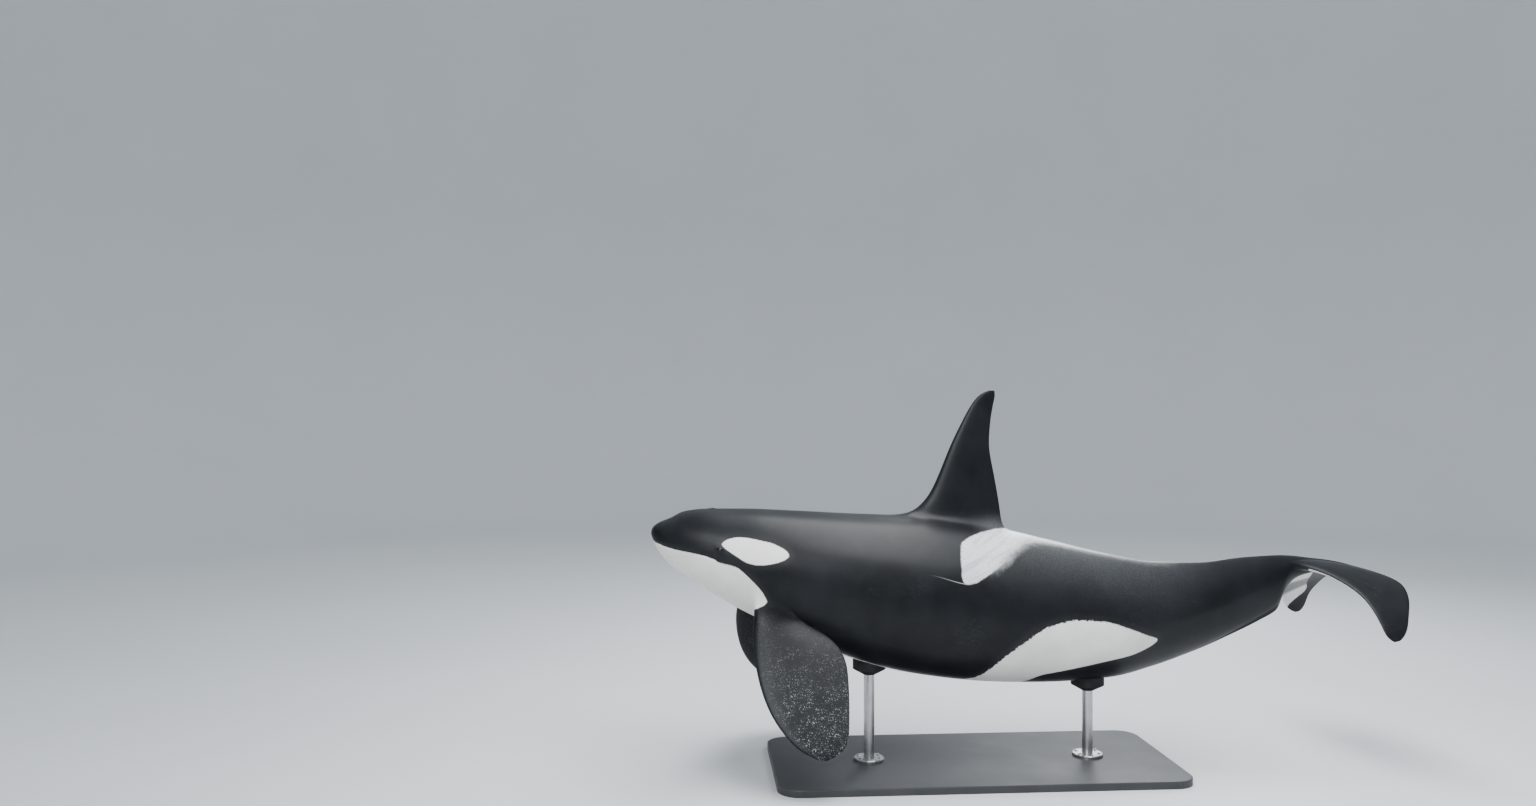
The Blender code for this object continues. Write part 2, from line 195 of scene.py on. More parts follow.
eye = {
    "place": (0.57, 1.905),  # behind the snout, height
    "column": 9,
    "ease": (0.06, 0.25),    # in front of it and behind it the edges spread out again
    "ball": 0.029,
    "ballFaces": (48, 32),   # round and up
    "sunk": 0.0225,
    "opening": (0.025, 0.0125),   # half length, half height
    "tilt": math.radians(-8),
    # half length and half height against the opening's, and height over the skin
    "loops": (
        (1.75, 3.20, 0.0000),
        (1.52, 2.45, 0.0012),
        (1.33, 1.85, 0.0004),
        (1.17, 1.42, 0.0026),
        (1.05, 1.12, 0.0038),
        (1.00, 1.00, 0.0026),
        (0.96, 0.93, -0.0030),
        (0.94, 0.90, -0.0120),
    ),
    "corner": (0.74, 0.66),  # the four points between sit this far in
    "darkLoops": 2,          # the last loops are dark inside
    "pupil": 0.26,           # radians from the middle of the eye
    "iris": 0.60,
    "cornea": (0.70, 0.0016),
}
blowhole = {
    "place": 0.52,
    "opening": (0.014, 0.042),    # half length, half width
    "bend": 7.0,
    # half length and half width against the slit's, and height over the skin
    "loops": (
        (3.00, 1.34, 0.0000),
        (2.20, 1.22, 0.0020),
        (1.45, 1.10, 0.0025),
        (1.00, 1.00, -0.0050),
        (0.50, 0.88, -0.0140),
    ),
    "darkLoops": 2,
    "corner": (0.85, 0.74),
}

bodyTable = np.array(body["stations"])
backAt, bellyAt, widthAt = [
    smoothThrough(np.sqrt(bodyTable[:, 0]), bodyTable[:, column]) for column in (1, 2, 3)
]
widestAt, upperFullnessAt, lowerFullnessAt = curvesOf(body["shapes"])
mouthAt = curvesOf(mouth["line"])[0]
keelDropAt = curvesOf(body["keelDrop"])[0]


def tailShift(y):
    start, end, turn = body["bend"]
    radius = (end - start) / turn
    inside = np.clip(y - start, 0, end - start) / radius
    return -radius * (1 - np.cos(inside)) - math.tan(turn) * np.maximum(0, y - end)


def section(y):
    root = np.sqrt(y)
    back, belly = backAt(root), bellyAt(root)
    return back, belly, belly + widestAt(y) * (back - belly), widthAt(root)


def angleAt(y, height):
    # from the top (0) round the side to the belly (pi)
    back, belly, middle, _ = section(y)
    if height >= middle:
        return math.acos(min(1, (height - middle) / (back - middle)) ** (upperFullnessAt(y) / 2))
    return math.pi - math.acos(min(1, (middle - height) / (middle - belly)) ** (lowerFullnessAt(y) / 2))


def sidePoint(y, angle, grown=0.0):
    # x and z on the section
    back, belly, middle, width = section(y)
    side, up = math.sin(angle), math.cos(angle)
    power = 2 / (upperFullnessAt(y) if up >= 0 else lowerFullnessAt(y))
    reach = (back - middle if up >= 0 else middle - belly) + grown
    return (width + grown) * abs(side) ** power, middle + reach * math.copysign(abs(up) ** power, up)


def flankAt(y, z):
    # half width of the body at a height
    back, belly, middle, width = section(y)
    upper = z >= middle
    fullness = np.where(upper, upperFullnessAt(y), lowerFullnessAt(y))
    reach = np.where(upper, back - middle, middle - belly)
    share = np.clip(np.abs(z - middle) / reach, 0, 1)
    return width * (1 - share**fullness) ** (1 / fullness)


def frontAt(x, z):
    # how far behind the snout's tip the skin stands at this place of the front view
    low = 0.0
    high, halvings = body["frontSearch"]
    for _ in range(halvings):
        y = (low + high) / 2
        back, belly, _, _ = section(y)
        covered = belly < z < back and abs(x) < flankAt(y, z)
        low, high = (low, y) if covered else (y, high)
    return (low + high) / 2


# The fins' shapes: share of the span, leading edge, trailing edge, ..., thickness

dorsal = {
    "rings": (2.06, 3.00),   # the part of the back that it grows from
    "rows": 9,
    "heights": (2.10, 3.208),
    "firstShare": 0.055,
    "sections": 15,
    "tipRound": 0.40,
    "tipCentre": 0.5,
    "stations": (
        (-0.10, 2.000, 3.012, 0.120),
        (0.03, 2.180, 2.990, 0.124),
        (0.09, 2.290, 2.978, 0.118),
        (0.22, 2.386, 2.955, 0.104),
        (0.40, 2.476, 2.916, 0.086),
        (0.58, 2.558, 2.882, 0.068),
        (0.75, 2.652, 2.893, 0.052),
        (0.90, 2.745, 2.920, 0.036),
        (0.98, 2.827, 2.938, 0.022),
        (1.00, 2.885, 2.930, 0.010),
    ),
}
flipper = {
    "rings": (0.86, 1.16),
    "rows": 6,
    "column": 14,
    "span": 1.17,
    "root": (0.345, 1.36),   # x and z
    "lean": {"left": math.radians(29), "right": math.radians(40)},
    "forward": {"left": 0.0, "right": 0.10},
    "firstShare": 0.03,
    "sections": 15,
    "tipRound": 0.90,
    "tipCentre": 0.5,
    "stations": (
        (-0.12, 0.900, 1.140, 0.100),
        (0.00, 0.850, 1.190, 0.098),
        (0.12, 0.830, 1.410, 0.090),
        (0.22, 0.832, 1.540, 0.080),
        (0.38, 0.850, 1.592, 0.070),
        (0.56, 0.897, 1.590, 0.058),
        (0.72, 0.975, 1.578, 0.046),
        (0.86, 1.090, 1.560, 0.036),
        (0.95, 1.200, 1.500, 0.024),
        (1.00, 1.310, 1.400, 0.010),
    ),
}
fluke = {
    "rings": (5.53, 6.16),
    "rows": 8,
    "column": 10,
    "span": 0.95,
    "curl": {"left": math.radians(68), "right": math.radians(70)},
    "sweep": {"left": (0.0, 0.0), "right": (-0.54, 0.61)},   # per share and its square
    "firstShare": 0.09,
    "sections": 15,
    "tipRound": 0.97,        # how much of the chord's cube is lost at the very tip
    "tipCentre": 0.4,        # where along the chord the rounding ends
    "easeIn": 5.20,          # the body's edges start to gather for the flukes here
    "rootFlat": 0.85,
    "rootShares": (0.03, 0.985),
    # leading and trailing edge are followed by their heights before the curl
    "stations": (
        (0.00, 5.52, 6.18, 1.690, 1.660, 0.110),
        (0.12, 5.66, 6.22, 1.685, 1.655, 0.096),
        (0.25, 5.78, 6.30, 1.660, 1.650, 0.080),
        (0.42, 5.89, 6.372, 1.635, 1.651, 0.062),
        (0.60, 5.945, 6.330, 1.630, 1.652, 0.046),
        (0.78, 5.965, 6.240, 1.630, 1.653, 0.034),
        (0.92, 5.980, 6.170, 1.630, 1.654, 0.024),
        (1.00, 6.020, 6.115, 1.632, 1.648, 0.012),
    ),
}
finEdge = 0.006              # the smoothing pulls a fin's edges in by about this much
tipCrowding = 1.8
tipStart = 0.9               # share of the span where the tip's rounding starts
signs = {"left": 1, "right": -1}


def dorsalSection(share, side):
    leading, trailing, thickness = (curve(share) for curve in curvesOf(dorsal["stations"]))
    low, high = dorsal["heights"]
    z = low + share * (high - low)
    return Vector((0, leading, z)), Vector((0, trailing, z)), Vector((1, 0, 0)), thickness


def flipperSection(share, side):
    leading, trailing, thickness = (curve(share) for curve in curvesOf(flipper["stations"]))
    lean, forward = flipper["lean"][side], flipper["forward"][side]
    x = signs[side] * (flipper["root"][0] + share * flipper["span"] * math.sin(lean))
    z = flipper["root"][1] - share * flipper["span"] * math.cos(lean)
    normal = Vector((signs[side] * math.cos(lean), 0, math.sin(lean)))
    return Vector((x, leading - forward, z)), Vector((x, trailing - forward, z)), normal, thickness


def flukeSection(share, side):
    curves = curvesOf(fluke["stations"])
    leading, trailing, frontHeight, rearHeight, thickness = (curve(share) for curve in curves)
    radius = fluke["span"] / fluke["curl"][side]
    turn = fluke["curl"][side] * share
    _, root, bend = body["bend"]
    x = signs[side] * radius * math.sin(turn)
    drop = radius * (1 - math.cos(turn))
    steady, growing = fluke["sweep"][side]
    back = steady * share + growing * share**2 - root
    bent = Matrix.Translation((float(tailShift(root)), root, 0)) @ Matrix.Rotation(bend, 4, "Z")
    front = bent @ Vector((x, leading + back, frontHeight - drop))
    rear = bent @ Vector((x, trailing + back, rearHeight - drop))
    normal = bent.to_3x3() @ Vector((signs[side] * math.sin(turn), 0, math.cos(turn)))
    return front, rear, normal, thickness


def foilHalf(share):
    # half thickness along a fin's chord, 1 where it is fullest
    fullest = 1 / 3
    return math.sqrt(share) * (1 - share) / (math.sqrt(fullest) * (1 - fullest))


# The rings of the skin

def ringPlaces():
    # denser at the head, and whole rows under each fin
    count, end = body["headRings"]
    places = [root**2 for root in np.linspace(math.sqrt(mouth["frontRing"]), math.sqrt(end), count)]
    places += body["eyeRings"]
    ends = (dorsal["rings"][0], body["keelRings"][0])
    for fin, following, step in zip((flipper, dorsal), ends, body["spacing"]):
        low, high = fin["rings"]
        places += list(np.linspace(low, high, fin["rows"] + 1))
        steps = round((following - high) / step)
        places += list(np.linspace(high, following, steps + 1)[1:-1])
    places += body["keelRings"]
    return places + list(np.linspace(*fluke["rings"], fluke["rows"] + 1))


def ringAngles(y):
    # even steps, but gathered on the mouth line, the eye and the fluke's faces
    half = body["around"] // 2
    even = np.linspace(0, math.pi, half + 1)
    mouthWeight = 1 - smoothStep(*mouth["ease"], y)
    flukeWeight = smoothStep(fluke["easeIn"], fluke["rings"][0], y)
    if mouthWeight > 0:
        _, belly, middle, _ = section(y)
        line = angleAt(y, float(mouthAt(y)))
        lip = min(mouth["lip"] / (middle - belly), mouth["lipTurn"])
        column = mouth["column"]
        guides = [(column - 1, line - lip), (column, line), (column + 1, line + lip)]
        eyeWeight = 1 - smoothStep(*eye["ease"], abs(y - eye["place"][0]))
        plain = guides[0][1] * eye["column"] / (column - 1)
        if eyeWeight > 0:
            lifted = angleAt(y, eye["place"][1])
            guides.insert(0, (eye["column"], plain + eyeWeight * (lifted - plain)))
    elif flukeWeight > 0:
        front, rear, _, thickness = flukeSection(0.0, "left")
        share = float(np.clip((y - front.y) / (rear.y - front.y), *fluke["rootShares"]))
        level = front.z + (rear.z - front.z) * share
        halfRoot = thickness / 2 * foilHalf(share) * fluke["rootFlat"]
        column = fluke["column"]
        guides = [(column + k, angleAt(y, level - k * halfRoot)) for k in (-1, 0, 1)]
    else:
        return even
    columns = [0] + [guide[0] for guide in guides] + [half]
    angles = [0] + [guide[1] for guide in guides] + [math.pi]
    guided = np.interp(range(half + 1), columns, angles)
    return even + (guided - even) * max(mouthWeight, flukeWeight)


def lipPush(column, y):
    # inwards at the mouth line, outwards along both lips
    step = min(column, body["around"] - column) - mouth["column"]
    push = {0: mouth["groove"], -1: -mouth["upperLip"], 1: -mouth["lowerLip"]}.get(step, 0)
    return push * (1 - smoothStep(*mouth["end"], y))


def ringPoint(y, angles, column):
    # columns 1 to 19 are the left side, 21 to 39 the right side
    around = body["around"]
    own = min(column, around - column)
    x, z = sidePoint(y, angles[own], body["swell"])
    if own == around // 2:
        z -= float(keelDropAt(y))
    inward = Vector((-x, section(y)[2] - z)).normalized() * lipPush(column, y)
    x, z = x + inward.x, z + inward.y
    return Vector((math.copysign(x, around / 2 - column) + tailShift(y), y, z))


def frontPoint(x, z, push=0.0):
    # on the front of the snout; a push goes straight back into it
    lipsMiddle = mouth["line"][0][1]
    grown = 1 - body["swell"] / mouth["frontRing"]
    inner = (x * grown, lipsMiddle + (z - lipsMiddle) * grown)
    return Vector((x, frontAt(*inner) + push, z))


# Modelling by hand, on the mesh that is open in edit mode

finOf = {1: dorsal, 2: flipper, 3: flipper, 4: fluke, 5: fluke}   # part numbers, the body's is 0
eyePart, blowholePart = 10, 11
wholeTags = ("ring", "column", "part")
realTags = ("finShare", "chord", "under", "onDorsal", "onFlipper", "onFluke", "inSlit", "aboveMouth")


def openMesh():
    mesh = bmesh.from_edit_mesh(bpy.context.object.data)
    layers = {name: mesh.verts.layers.int[name] for name in wholeTags}
    layers.update({name: mesh.verts.layers.float[name] for name in realTags})
    return mesh, layers


def selectOnly(kind, test):
    # kind is VERT, EDGE or FACE
    bpy.ops.mesh.select_all(action="DESELECT")
    bpy.ops.mesh.select_mode(type=kind)
    mesh, layers = openMesh()
    for item in {"VERT": mesh.verts, "EDGE": mesh.edges, "FACE": mesh.faces}[kind]:
        if test(item, layers):
            item.select_set(True)
    mesh.select_flush_mode()
    bmesh.update_edit_mesh(bpy.context.object.data)


def placeSelected(place):
    mesh, layers = openMesh()
    for vert in mesh.verts:
        if vert.select:
            place(vert, layers)
    bmesh.update_edit_mesh(bpy.context.object.data)


def extrudeAndPlace(place):
    bpy.ops.mesh.extrude_region_move(TRANSFORM_OT_translate={"value": (0, 0, 0)})
    placeSelected(place)


def selectPatch(columns, rings):
    # the body's faces between these columns and rings
    def onPatch(face, layers):
        return all(
            vert[layers["part"]] == 0 and vert[layers["column"]] in columns and vert[layers["ring"]] in rings
            for vert in face.verts
        )

    selectOnly("FACE", onPatch)


def addRings(rings):
    around = body["around"]
    bpy.ops.mesh.primitive_circle_add(vertices=around, fill_type="NOTHING", calc_uvs=False)
    skin = bpy.context.object
    skin.name = skin.data.name = "skin"
    skin.data.uv_layers.new(name="OFBake")
    bpy.ops.object.mode_set(mode="EDIT")
    mesh = bmesh.from_edit_mesh(skin.data)
    for name in wholeTags:
        mesh.verts.layers.int.new(name)
    for name in realTags:
        mesh.verts.layers.float.new(name)
    bpy.ops.mesh.select_all(action="SELECT")

    def number(vert, layers):
        turn = math.atan2(vert.co.x, vert.co.y) % math.tau
        vert[layers["column"]] = round(turn / math.tau * around) % around

    placeSelected(number)
    lipsMiddle = Vector((0, mouth["line"][0][1]))
    frameAngles = ringAngles(rings[0])
    count = 0
    mouthCorner = sidePoint(rings[0], frameAngles[mouth["column"]])[1]
    for share in mouth["front"]:
        level = lipsMiddle.y + share * (mouthCorner - lipsMiddle.y)

        def placeFront(vert, layers):
            column = vert[layers["column"]]
            x, z = sidePoint(rings[0], frameAngles[min(column, around - column)], body["swell"])
            place = lipsMiddle.lerp(Vector((math.copysign(x, around / 2 - column), z)), share)
            vert.co = frontPoint(*place, push=lipPush(column, 0) * math.sqrt(share))
            vert[layers["ring"]] = count
            vert[layers["aboveMouth"]] = vert.co.z - level

        count += 1
        if count == 1:
            placeSelected(placeFront)
        else:
            extrudeAndPlace(placeFront)
    for y in rings:
        count += 1
        angles = ringAngles(y)
        level = sidePoint(y, angles[mouth["column"]])[1]

        def place(vert, layers):
            vert[layers["ring"]] = count
            vert.co = ringPoint(y, angles, vert[layers["column"]])
            onLine = min(vert[layers["column"]], around - vert[layers["column"]]) == mouth["column"]
            vert[layers["aboveMouth"]] = 0 if onLine else vert.co.z - level

        extrudeAndPlace(place)
    return skin, count


def closeEnd(ring, place):
    # a grid over an open end, its corners halfway up each side
    corner = body["around"] // 8
    selectOnly("VERT", lambda vert, layers: vert[layers["ring"]] == ring)
    mesh, layers = openMesh()
    mesh.select_history.clear()
    for vert in mesh.verts:
        if vert.select and vert[layers["column"]] == corner:
            mesh.select_history.add(vert)
    bmesh.update_edit_mesh(bpy.context.object.data)
    bpy.ops.mesh.fill_grid(span=body["around"] // 4)

    def placeNew(vert, layers):
        if vert[layers["ring"]] != ring:
            place(vert, layers)
            vert[layers["ring"]] = ring
            vert[layers["column"]] = -1

    placeSelected(placeNew)


def closeSnout():
    mesh, layers = openMesh()
    level, lip = (
        next(v.co.z for v in mesh.verts if v[layers["ring"]] == 1 and v[layers["column"]] == column)
        for column in (mouth["column"], mouth["column"] - 1)
    )
    step = lip - level

    def place(vert, layers):
        x, z = vert.co.x, vert.co.z
        near = max(0.0, 1 - abs(z - level) / (mouth["frontReach"] * step))
        vert.co = frontPoint(x, z, push=mouth["groove"] * math.sqrt(mouth["front"][0]) * near)
        vert[layers["aboveMouth"]] = z - level

    closeEnd(1, place)


def closeTail(ring):
    mesh, layers = openMesh()
    rim = [vert.co.copy() for vert in mesh.verts if vert[layers["ring"]] == ring]
    middle = sum(rim, Vector()) / len(rim)
    reach = max(abs(point.x - middle.x) for point in rim)

    def place(vert, layers):
        across = min(1, abs(vert.co.x - middle.x) / reach)
        vert.co.y = middle.y + body["tailBulge"] * (1 - across**2)

    closeEnd(ring, place)


def sharesTo(first, count):
    turns = np.linspace(1.0, 0.0, count)
    return 1 - (1 - first) * turns**tipCrowding


def growFin(part, columns, firstRing, sectionAt, side, tag):
    # columns are the patch's edge on the outer or upper face, its middle and its other edge
    fin = finOf[part]
    rows = fin["rows"]
    selectPatch(columns, range(firstRing, firstRing + rows + 1))
    steps = [0.5 - 0.5 * math.cos(math.pi * k / (rows + 2)) for k in range(1, rows + 2)]
    for share in sharesTo(fin["firstShare"], fin["sections"]):
        leading, trailing, normal, thickness = sectionAt(share, side)
        nearTip = max(0, (share - tipStart) / (1 - tipStart))
        kept = (1 - fin["tipRound"] * nearTip**3) ** (1 / 3)
        centre = leading.lerp(trailing, fin["tipCentre"])
        leading, trailing = (centre.lerp(end, kept) for end in (leading, trailing))
        along = (trailing - leading).normalized() * finEdge

        def place(vert, layers):
            row = vert[layers["ring"]] - firstRing
            face = 1 - columns.index(vert[layers["column"]])
            step = steps[row]
            if face == 0:
                step = {0: 0.0, rows: 1.0}.get(row, step)
            thick = normal * face * thickness / 2 * foilHalf(step)
            vert.co = (leading - along).lerp(trailing + along, step) + thick
            vert[layers["part"]] = part
            vert[layers["finShare"]] = share
            vert[layers["chord"]] = step
            vert[layers["under"]] = -face
            vert[layers[tag]] = 1.0

        extrudeAndPlace(place)


def growLoops(piece, part, columns, rings, placeAt):
    # loops of eight points one inside the other, the last ones dark
    selectPatch(columns, rings)
    length, width = piece["opening"]
    for k, (longer, wider, lift) in enumerate(piece["loops"]):
        dark = k >= len(piece["loops"]) - piece["darkLoops"]

        def place(vert, layers):
            rearward = float(rings.index(vert[layers["ring"]]) - 1)
            across = float(1 - columns.index(vert[layers["column"]]))
            if rearward and across:
                rearward, across = rearward * piece["corner"][0], across * piece["corner"][1]
            vert.co = placeAt(rearward * length * longer, across * width * wider, lift)
            vert[layers["part"]] = part
            vert[layers["inSlit"]] = float(dark)

        extrudeAndPlace(place)


def growEye(side, rings):
    # folds, lids, and a pocket behind the ball
    normal, rearward, upward = eyeDirections(side)

    def placeAt(back, up, lift):
        reach = rearward * back + upward * up
        y, z = eye["place"][0] + reach.y, eye["place"][1] + reach.z
        x = signs[side] * (float(flankAt(y, z)) + body["swell"])
        return Vector((x, y, z)) + normal * lift

    around, own = body["around"], eye["column"]
    columns = [own + k if side == "left" else around - own - k for k in (-1, 0, 1)]
    growLoops(eye, eyePart, columns, rings, placeAt)


def growBlowhole(rings):
    # one crescent across the top of the head, its ends towards the snout
    def placeAt(back, x, lift):
        y = blowhole["place"] + back - blowhole["bend"] * x * x
        width = float(widthAt(math.sqrt(y)))
        turned = math.asin((abs(x) / width) ** (upperFullnessAt(y) / 2))
        return Vector((x, y, sidePoint(y, turned, body["swell"])[1] + lift))

    growLoops(blowhole, blowholePart, [1, 0, body["around"] - 1], rings, placeAt)


def eyeDirections(side):
    # outward, rearward and upward on the skin over the eye
    y, z = eye["place"]
    step = 0.01
    alongY = float(flankAt(y + step, z) - flankAt(y - step, z)) / (2 * step)
    alongZ = float(flankAt(y, z + step) - flankAt(y, z - step)) / (2 * step)
    sign = signs[side]
    normal = Vector((sign, -alongY, -alongZ)).normalized()
    rearward = Vector((sign * alongY, 1, 0)).normalized()
    upward = normal.cross(rearward) * sign
    turned = Matrix.Rotation(eye["tilt"] * sign, 3, normal)
    return normal, turned @ rearward, turned @ upward


def creaseMouth(lastRing):
    def onGroove(edge, layers):
        columns = {min(v[layers["column"]], body["around"] - v[layers["column"]]) for v in edge.verts}
        low, high = sorted(v[layers["ring"]] for v in edge.verts)
        inBody = all(v[layers["part"]] == 0 for v in edge.verts)
        return columns == {mouth["column"]} and inBody and low != high and high <= lastRing

    selectOnly("EDGE", onGroove)
    bpy.ops.transform.edge_crease(value=mouth["crease"])


def unwrapSkin(cuts):
    around = body["around"]

    def isSeam(edge, layers):
        first, second = edge.verts
        parts = (first[layers["part"]], second[layers["part"]])
        columns = (first[layers["column"]], second[layers["column"]])
        rings = (first[layers["ring"]], second[layers["ring"]])
        if parts == (0, 0):
            return columns == (around // 2, around // 2) or (rings[0] == rings[1] and rings[0] in cuts)
        if parts[0] != parts[1] or parts[0] not in finOf:
            return False
        shares = (first[layers["finShare"]], second[layers["finShare"]])
        root = finOf[parts[0]]["firstShare"]
        chords = (first[layers["chord"]], second[layers["chord"]])
        aroundRoot = max(abs(share - root) for share in shares) < 1e-5
        alongEdge = chords in ((0.0, 0.0), (1.0, 1.0))
        return aroundRoot or alongEdge

    selectOnly("EDGE", isSeam)
    bpy.ops.mesh.mark_seam(clear=False)
    bpy.ops.mesh.select_all(action="SELECT")
    bpy.ops.uv.unwrap(method="ANGLE_BASED", margin=body["uvMargin"])


def modelSkin():
    bpy.ops.object.select_all(action="DESELECT")
    places = ringPlaces()
    skin, last = addRings(places)
    print("skin:", last, "rings from snout to tail")
    closeSnout()
    closeTail(last)

    def ringOf(y):
        nearest = min(range(len(places)), key=lambda i: abs(places[i] - y))
        return nearest + 1 + len(mouth["front"])

    around = body["around"]
    growFin(1, (1, 0, around - 1), ringOf(dorsal["rings"][0]), dorsalSection, "left", "onDorsal")
    for i, side in enumerate(("left", "right")):

        def mirrored(column):
            return column if side == "left" else around - column

        own = [mirrored(flipper["column"] + k) for k in (-1, 0, 1)]
        start = ringOf(flipper["rings"][0]) - (1 if flipper["forward"][side] else 0)
        growFin(2 + i, own, start, flipperSection, side, "onFlipper")
        own = [mirrored(fluke["column"] + k) for k in (-1, 0, 1)]
        growFin(4 + i, own, ringOf(fluke["rings"][0]), flukeSection, side, "onFluke")
        middle = ringOf(eye["place"][0])
        growEye(side, [middle - 1, middle, middle + 1])
    middle = ringOf(blowhole["place"])
    growBlowhole([middle - 1, middle, middle + 1])
    print("skin: fins, eyelids and blowhole grown")
    creaseMouth(ringOf(mouth["end"][0]))
    bpy.ops.mesh.select_all(action="SELECT")
    bpy.ops.mesh.normals_make_consistent(inside=False)
    unwrapSkin({ringOf(y) for y in body["seams"]})
    bpy.ops.object.mode_set(mode="OBJECT")
    smooth = skin.modifiers.new("smooth", "SUBSURF")
    smooth.levels = smooth.render_levels = body["smoothing"]
    bpy.ops.object.modifier_apply(modifier=smooth.name)
    bpy.ops.object.shade_smooth()
    print("skin:", len(skin.data.polygons), "faces")
    return skin


# Markings, worked out on the skin's own points

markings = {
    # the white behind the mouth: behind the snout, from the belly's middle
    "jawWhite": (
        (0.300, -0.100), (0.300, 0.350), (0.375, 0.400), (0.506, 0.465), (0.554, 0.471),
        (0.691, 0.527), (0.760, 0.530), (0.829, 0.516), (0.886, 0.498), (0.940, 0.460),
        (0.969, 0.424), (0.930, 0.377), (0.868, 0.297), (0.825, 0.159), (0.780, 0.000),
        (0.700, -0.100),
    ),
    # half of the belly band's width
    "bellyBand": (
        (0.300, 0.100), (0.830, 0.310), (0.920, 0.250), (1.030, 0.190), (1.300, 0.195),
        (1.800, 0.205), (2.400, 0.190), (2.600, 0.210), (2.800, 0.240), (3.100, 0.200),
        (3.300, 0.150), (3.800, 0.120), (4.200, 0.100), (4.400, 0.030), (4.500, -0.020),
        (4.800, -0.200),
    ),
    "throatCorner": 0.12,
    "flipperTop": (0.80, 1.39, 0.5),   # the white runs on over a flipper's root above this slanting line
    "jawFollowsMouth": (0.50, 0.56),
    "belowLips": 0.005,
    # behind the snout and height
    "eyePatch": (
        (0.588, 1.940), (0.645, 1.988), (0.750, 2.001), (0.880, 1.981), (1.030, 1.942),
        (1.128, 1.872), (1.075, 1.818), (0.920, 1.783), (0.800, 1.797), (0.690, 1.860),
    ),
    # behind the snout and from the belly's middle
    "flankLobe": (
        (2.60, 0.150), (2.70, 0.320), (2.81, 0.484), (2.91, 0.592), (3.06, 0.695), (3.22, 0.764),
        (3.40, 0.789), (3.60, 0.766), (3.80, 0.712), (3.98, 0.630), (4.14, 0.528), (4.240, 0.445),
        (4.10, 0.418), (3.83, 0.426), (3.55, 0.414), (3.34, 0.384), (3.22, 0.345), (3.12, 0.220),
        (2.95, 0.050),
    ),
    # behind the snout and from the back's middle
    "saddle": (
        (3.100, 0.000), (2.970, 0.085), (2.874, 0.125), (2.605, 0.332), (2.553, 0.438),
        (2.538, 0.572), (2.538, 0.682), (2.578, 0.702), (2.681, 0.664), (2.810, 0.570),
        (2.930, 0.470), (3.040, 0.340), (3.180, 0.215), (3.380, 0.135), (3.700, 0.095),
        (4.200, 0.070), (4.500, 0.030), (4.450, -0.100), (3.400, -0.120),
    ),
    "saddleStrength": ((2.3, 1.0), (3.0, 1.0), (3.3, 0.55), (3.8, 0.30), (4.5, 0.12), (4.8, 0.0)),
    "saddleSoft": (2.72, 2.98),   # its edge turns soft between these
    "saddleTop": ((0.10, 0.25), (3.10, 3.30)),   # it stays crisp near the back's middle before these
    "wisp": ((2.24, 2.56), (0.668, 0.702)),   # from and to, and its depth under the back there
    "wispEnd": 0.05,         # it fades over this much behind
    # painted light: how strong a grainy speckle of water light is along the back, and how far down from the
    # back's middle it reaches
    "paintedWaterLightAndStreak": ((2.7, 0.0), (3.1, 1.0), (3.7, 0.75), (4.3, 0.4), (4.9, 0.0)),
    "paintedWaterLightDepth": 0.42,
    "ragged": ((2.60, 2.75), (3.50, 3.90)),   # the flank lobe's edge frays between these,
    "raggedAbove": 0.5,                       # its lower edge doesn't
    # along the span and along the chord
    "flukeWhite": (
        (0.114, 0.025), (0.240, -0.040), (0.520, -0.050), (0.760, -0.040), (0.885, -0.020),
        (0.855, 0.075), (0.810, 0.190), (0.730, 0.350), (0.665, 0.370), (0.570, 0.310),
        (0.430, 0.270), (0.270, 0.260), (0.114, 0.210),
    ),
    "flukeChord": 0.50,
    "flukeStreak": ((0.56, 0.64), (0.75, 0.81)),   # a grey streak slants across that white
    "streakSlant": 0.25,
    "finFade": (0.05, 0.3, 0.4),   # white and saddle end this far inside, less a share of the fin
    "underBelly": 1.0,       # no saddle below this height
    "flecks": ((0.05, 0.85), (0.02, 0.25), 0.12),   # they thicken along the span and the chord, from this
    "reach": 0.1,            # distances are kept up to here,
    "saddleReach": 0.2,      # for the saddle up to here
}


def pointValues(mesh, name):
    values = np.zeros(len(mesh.vertices))
    mesh.attributes[name].data.foreach_get("value", values)
    return values


def setPointValues(mesh, name, values):
    layer = mesh.attributes.new(name, "FLOAT", "POINT")
    layer.data.foreach_set("value", np.asarray(values, np.float32))


def measureSkin(mesh):
    # where each point lies on the animal, and what the modelling noted there
    flat = np.zeros(len(mesh.vertices) * 3)
    mesh.vertices.foreach_get("co", flat)
    x, y, z = flat.reshape(-1, 3).T
    y = np.maximum(y, 0)
    x = np.abs(x - tailShift(y))
    back, belly, _, _ = section(y)
    at = {name: pointValues(mesh, name) for name in realTags}
    at.update(y=y, z=z, fromBelly=np.hypot(x, z - belly), fromBack=np.hypot(x, back - z))
    at["fins"] = np.maximum.reduce([at[name] for name in ("onDorsal", "onFlipper", "onFluke")])
    return at


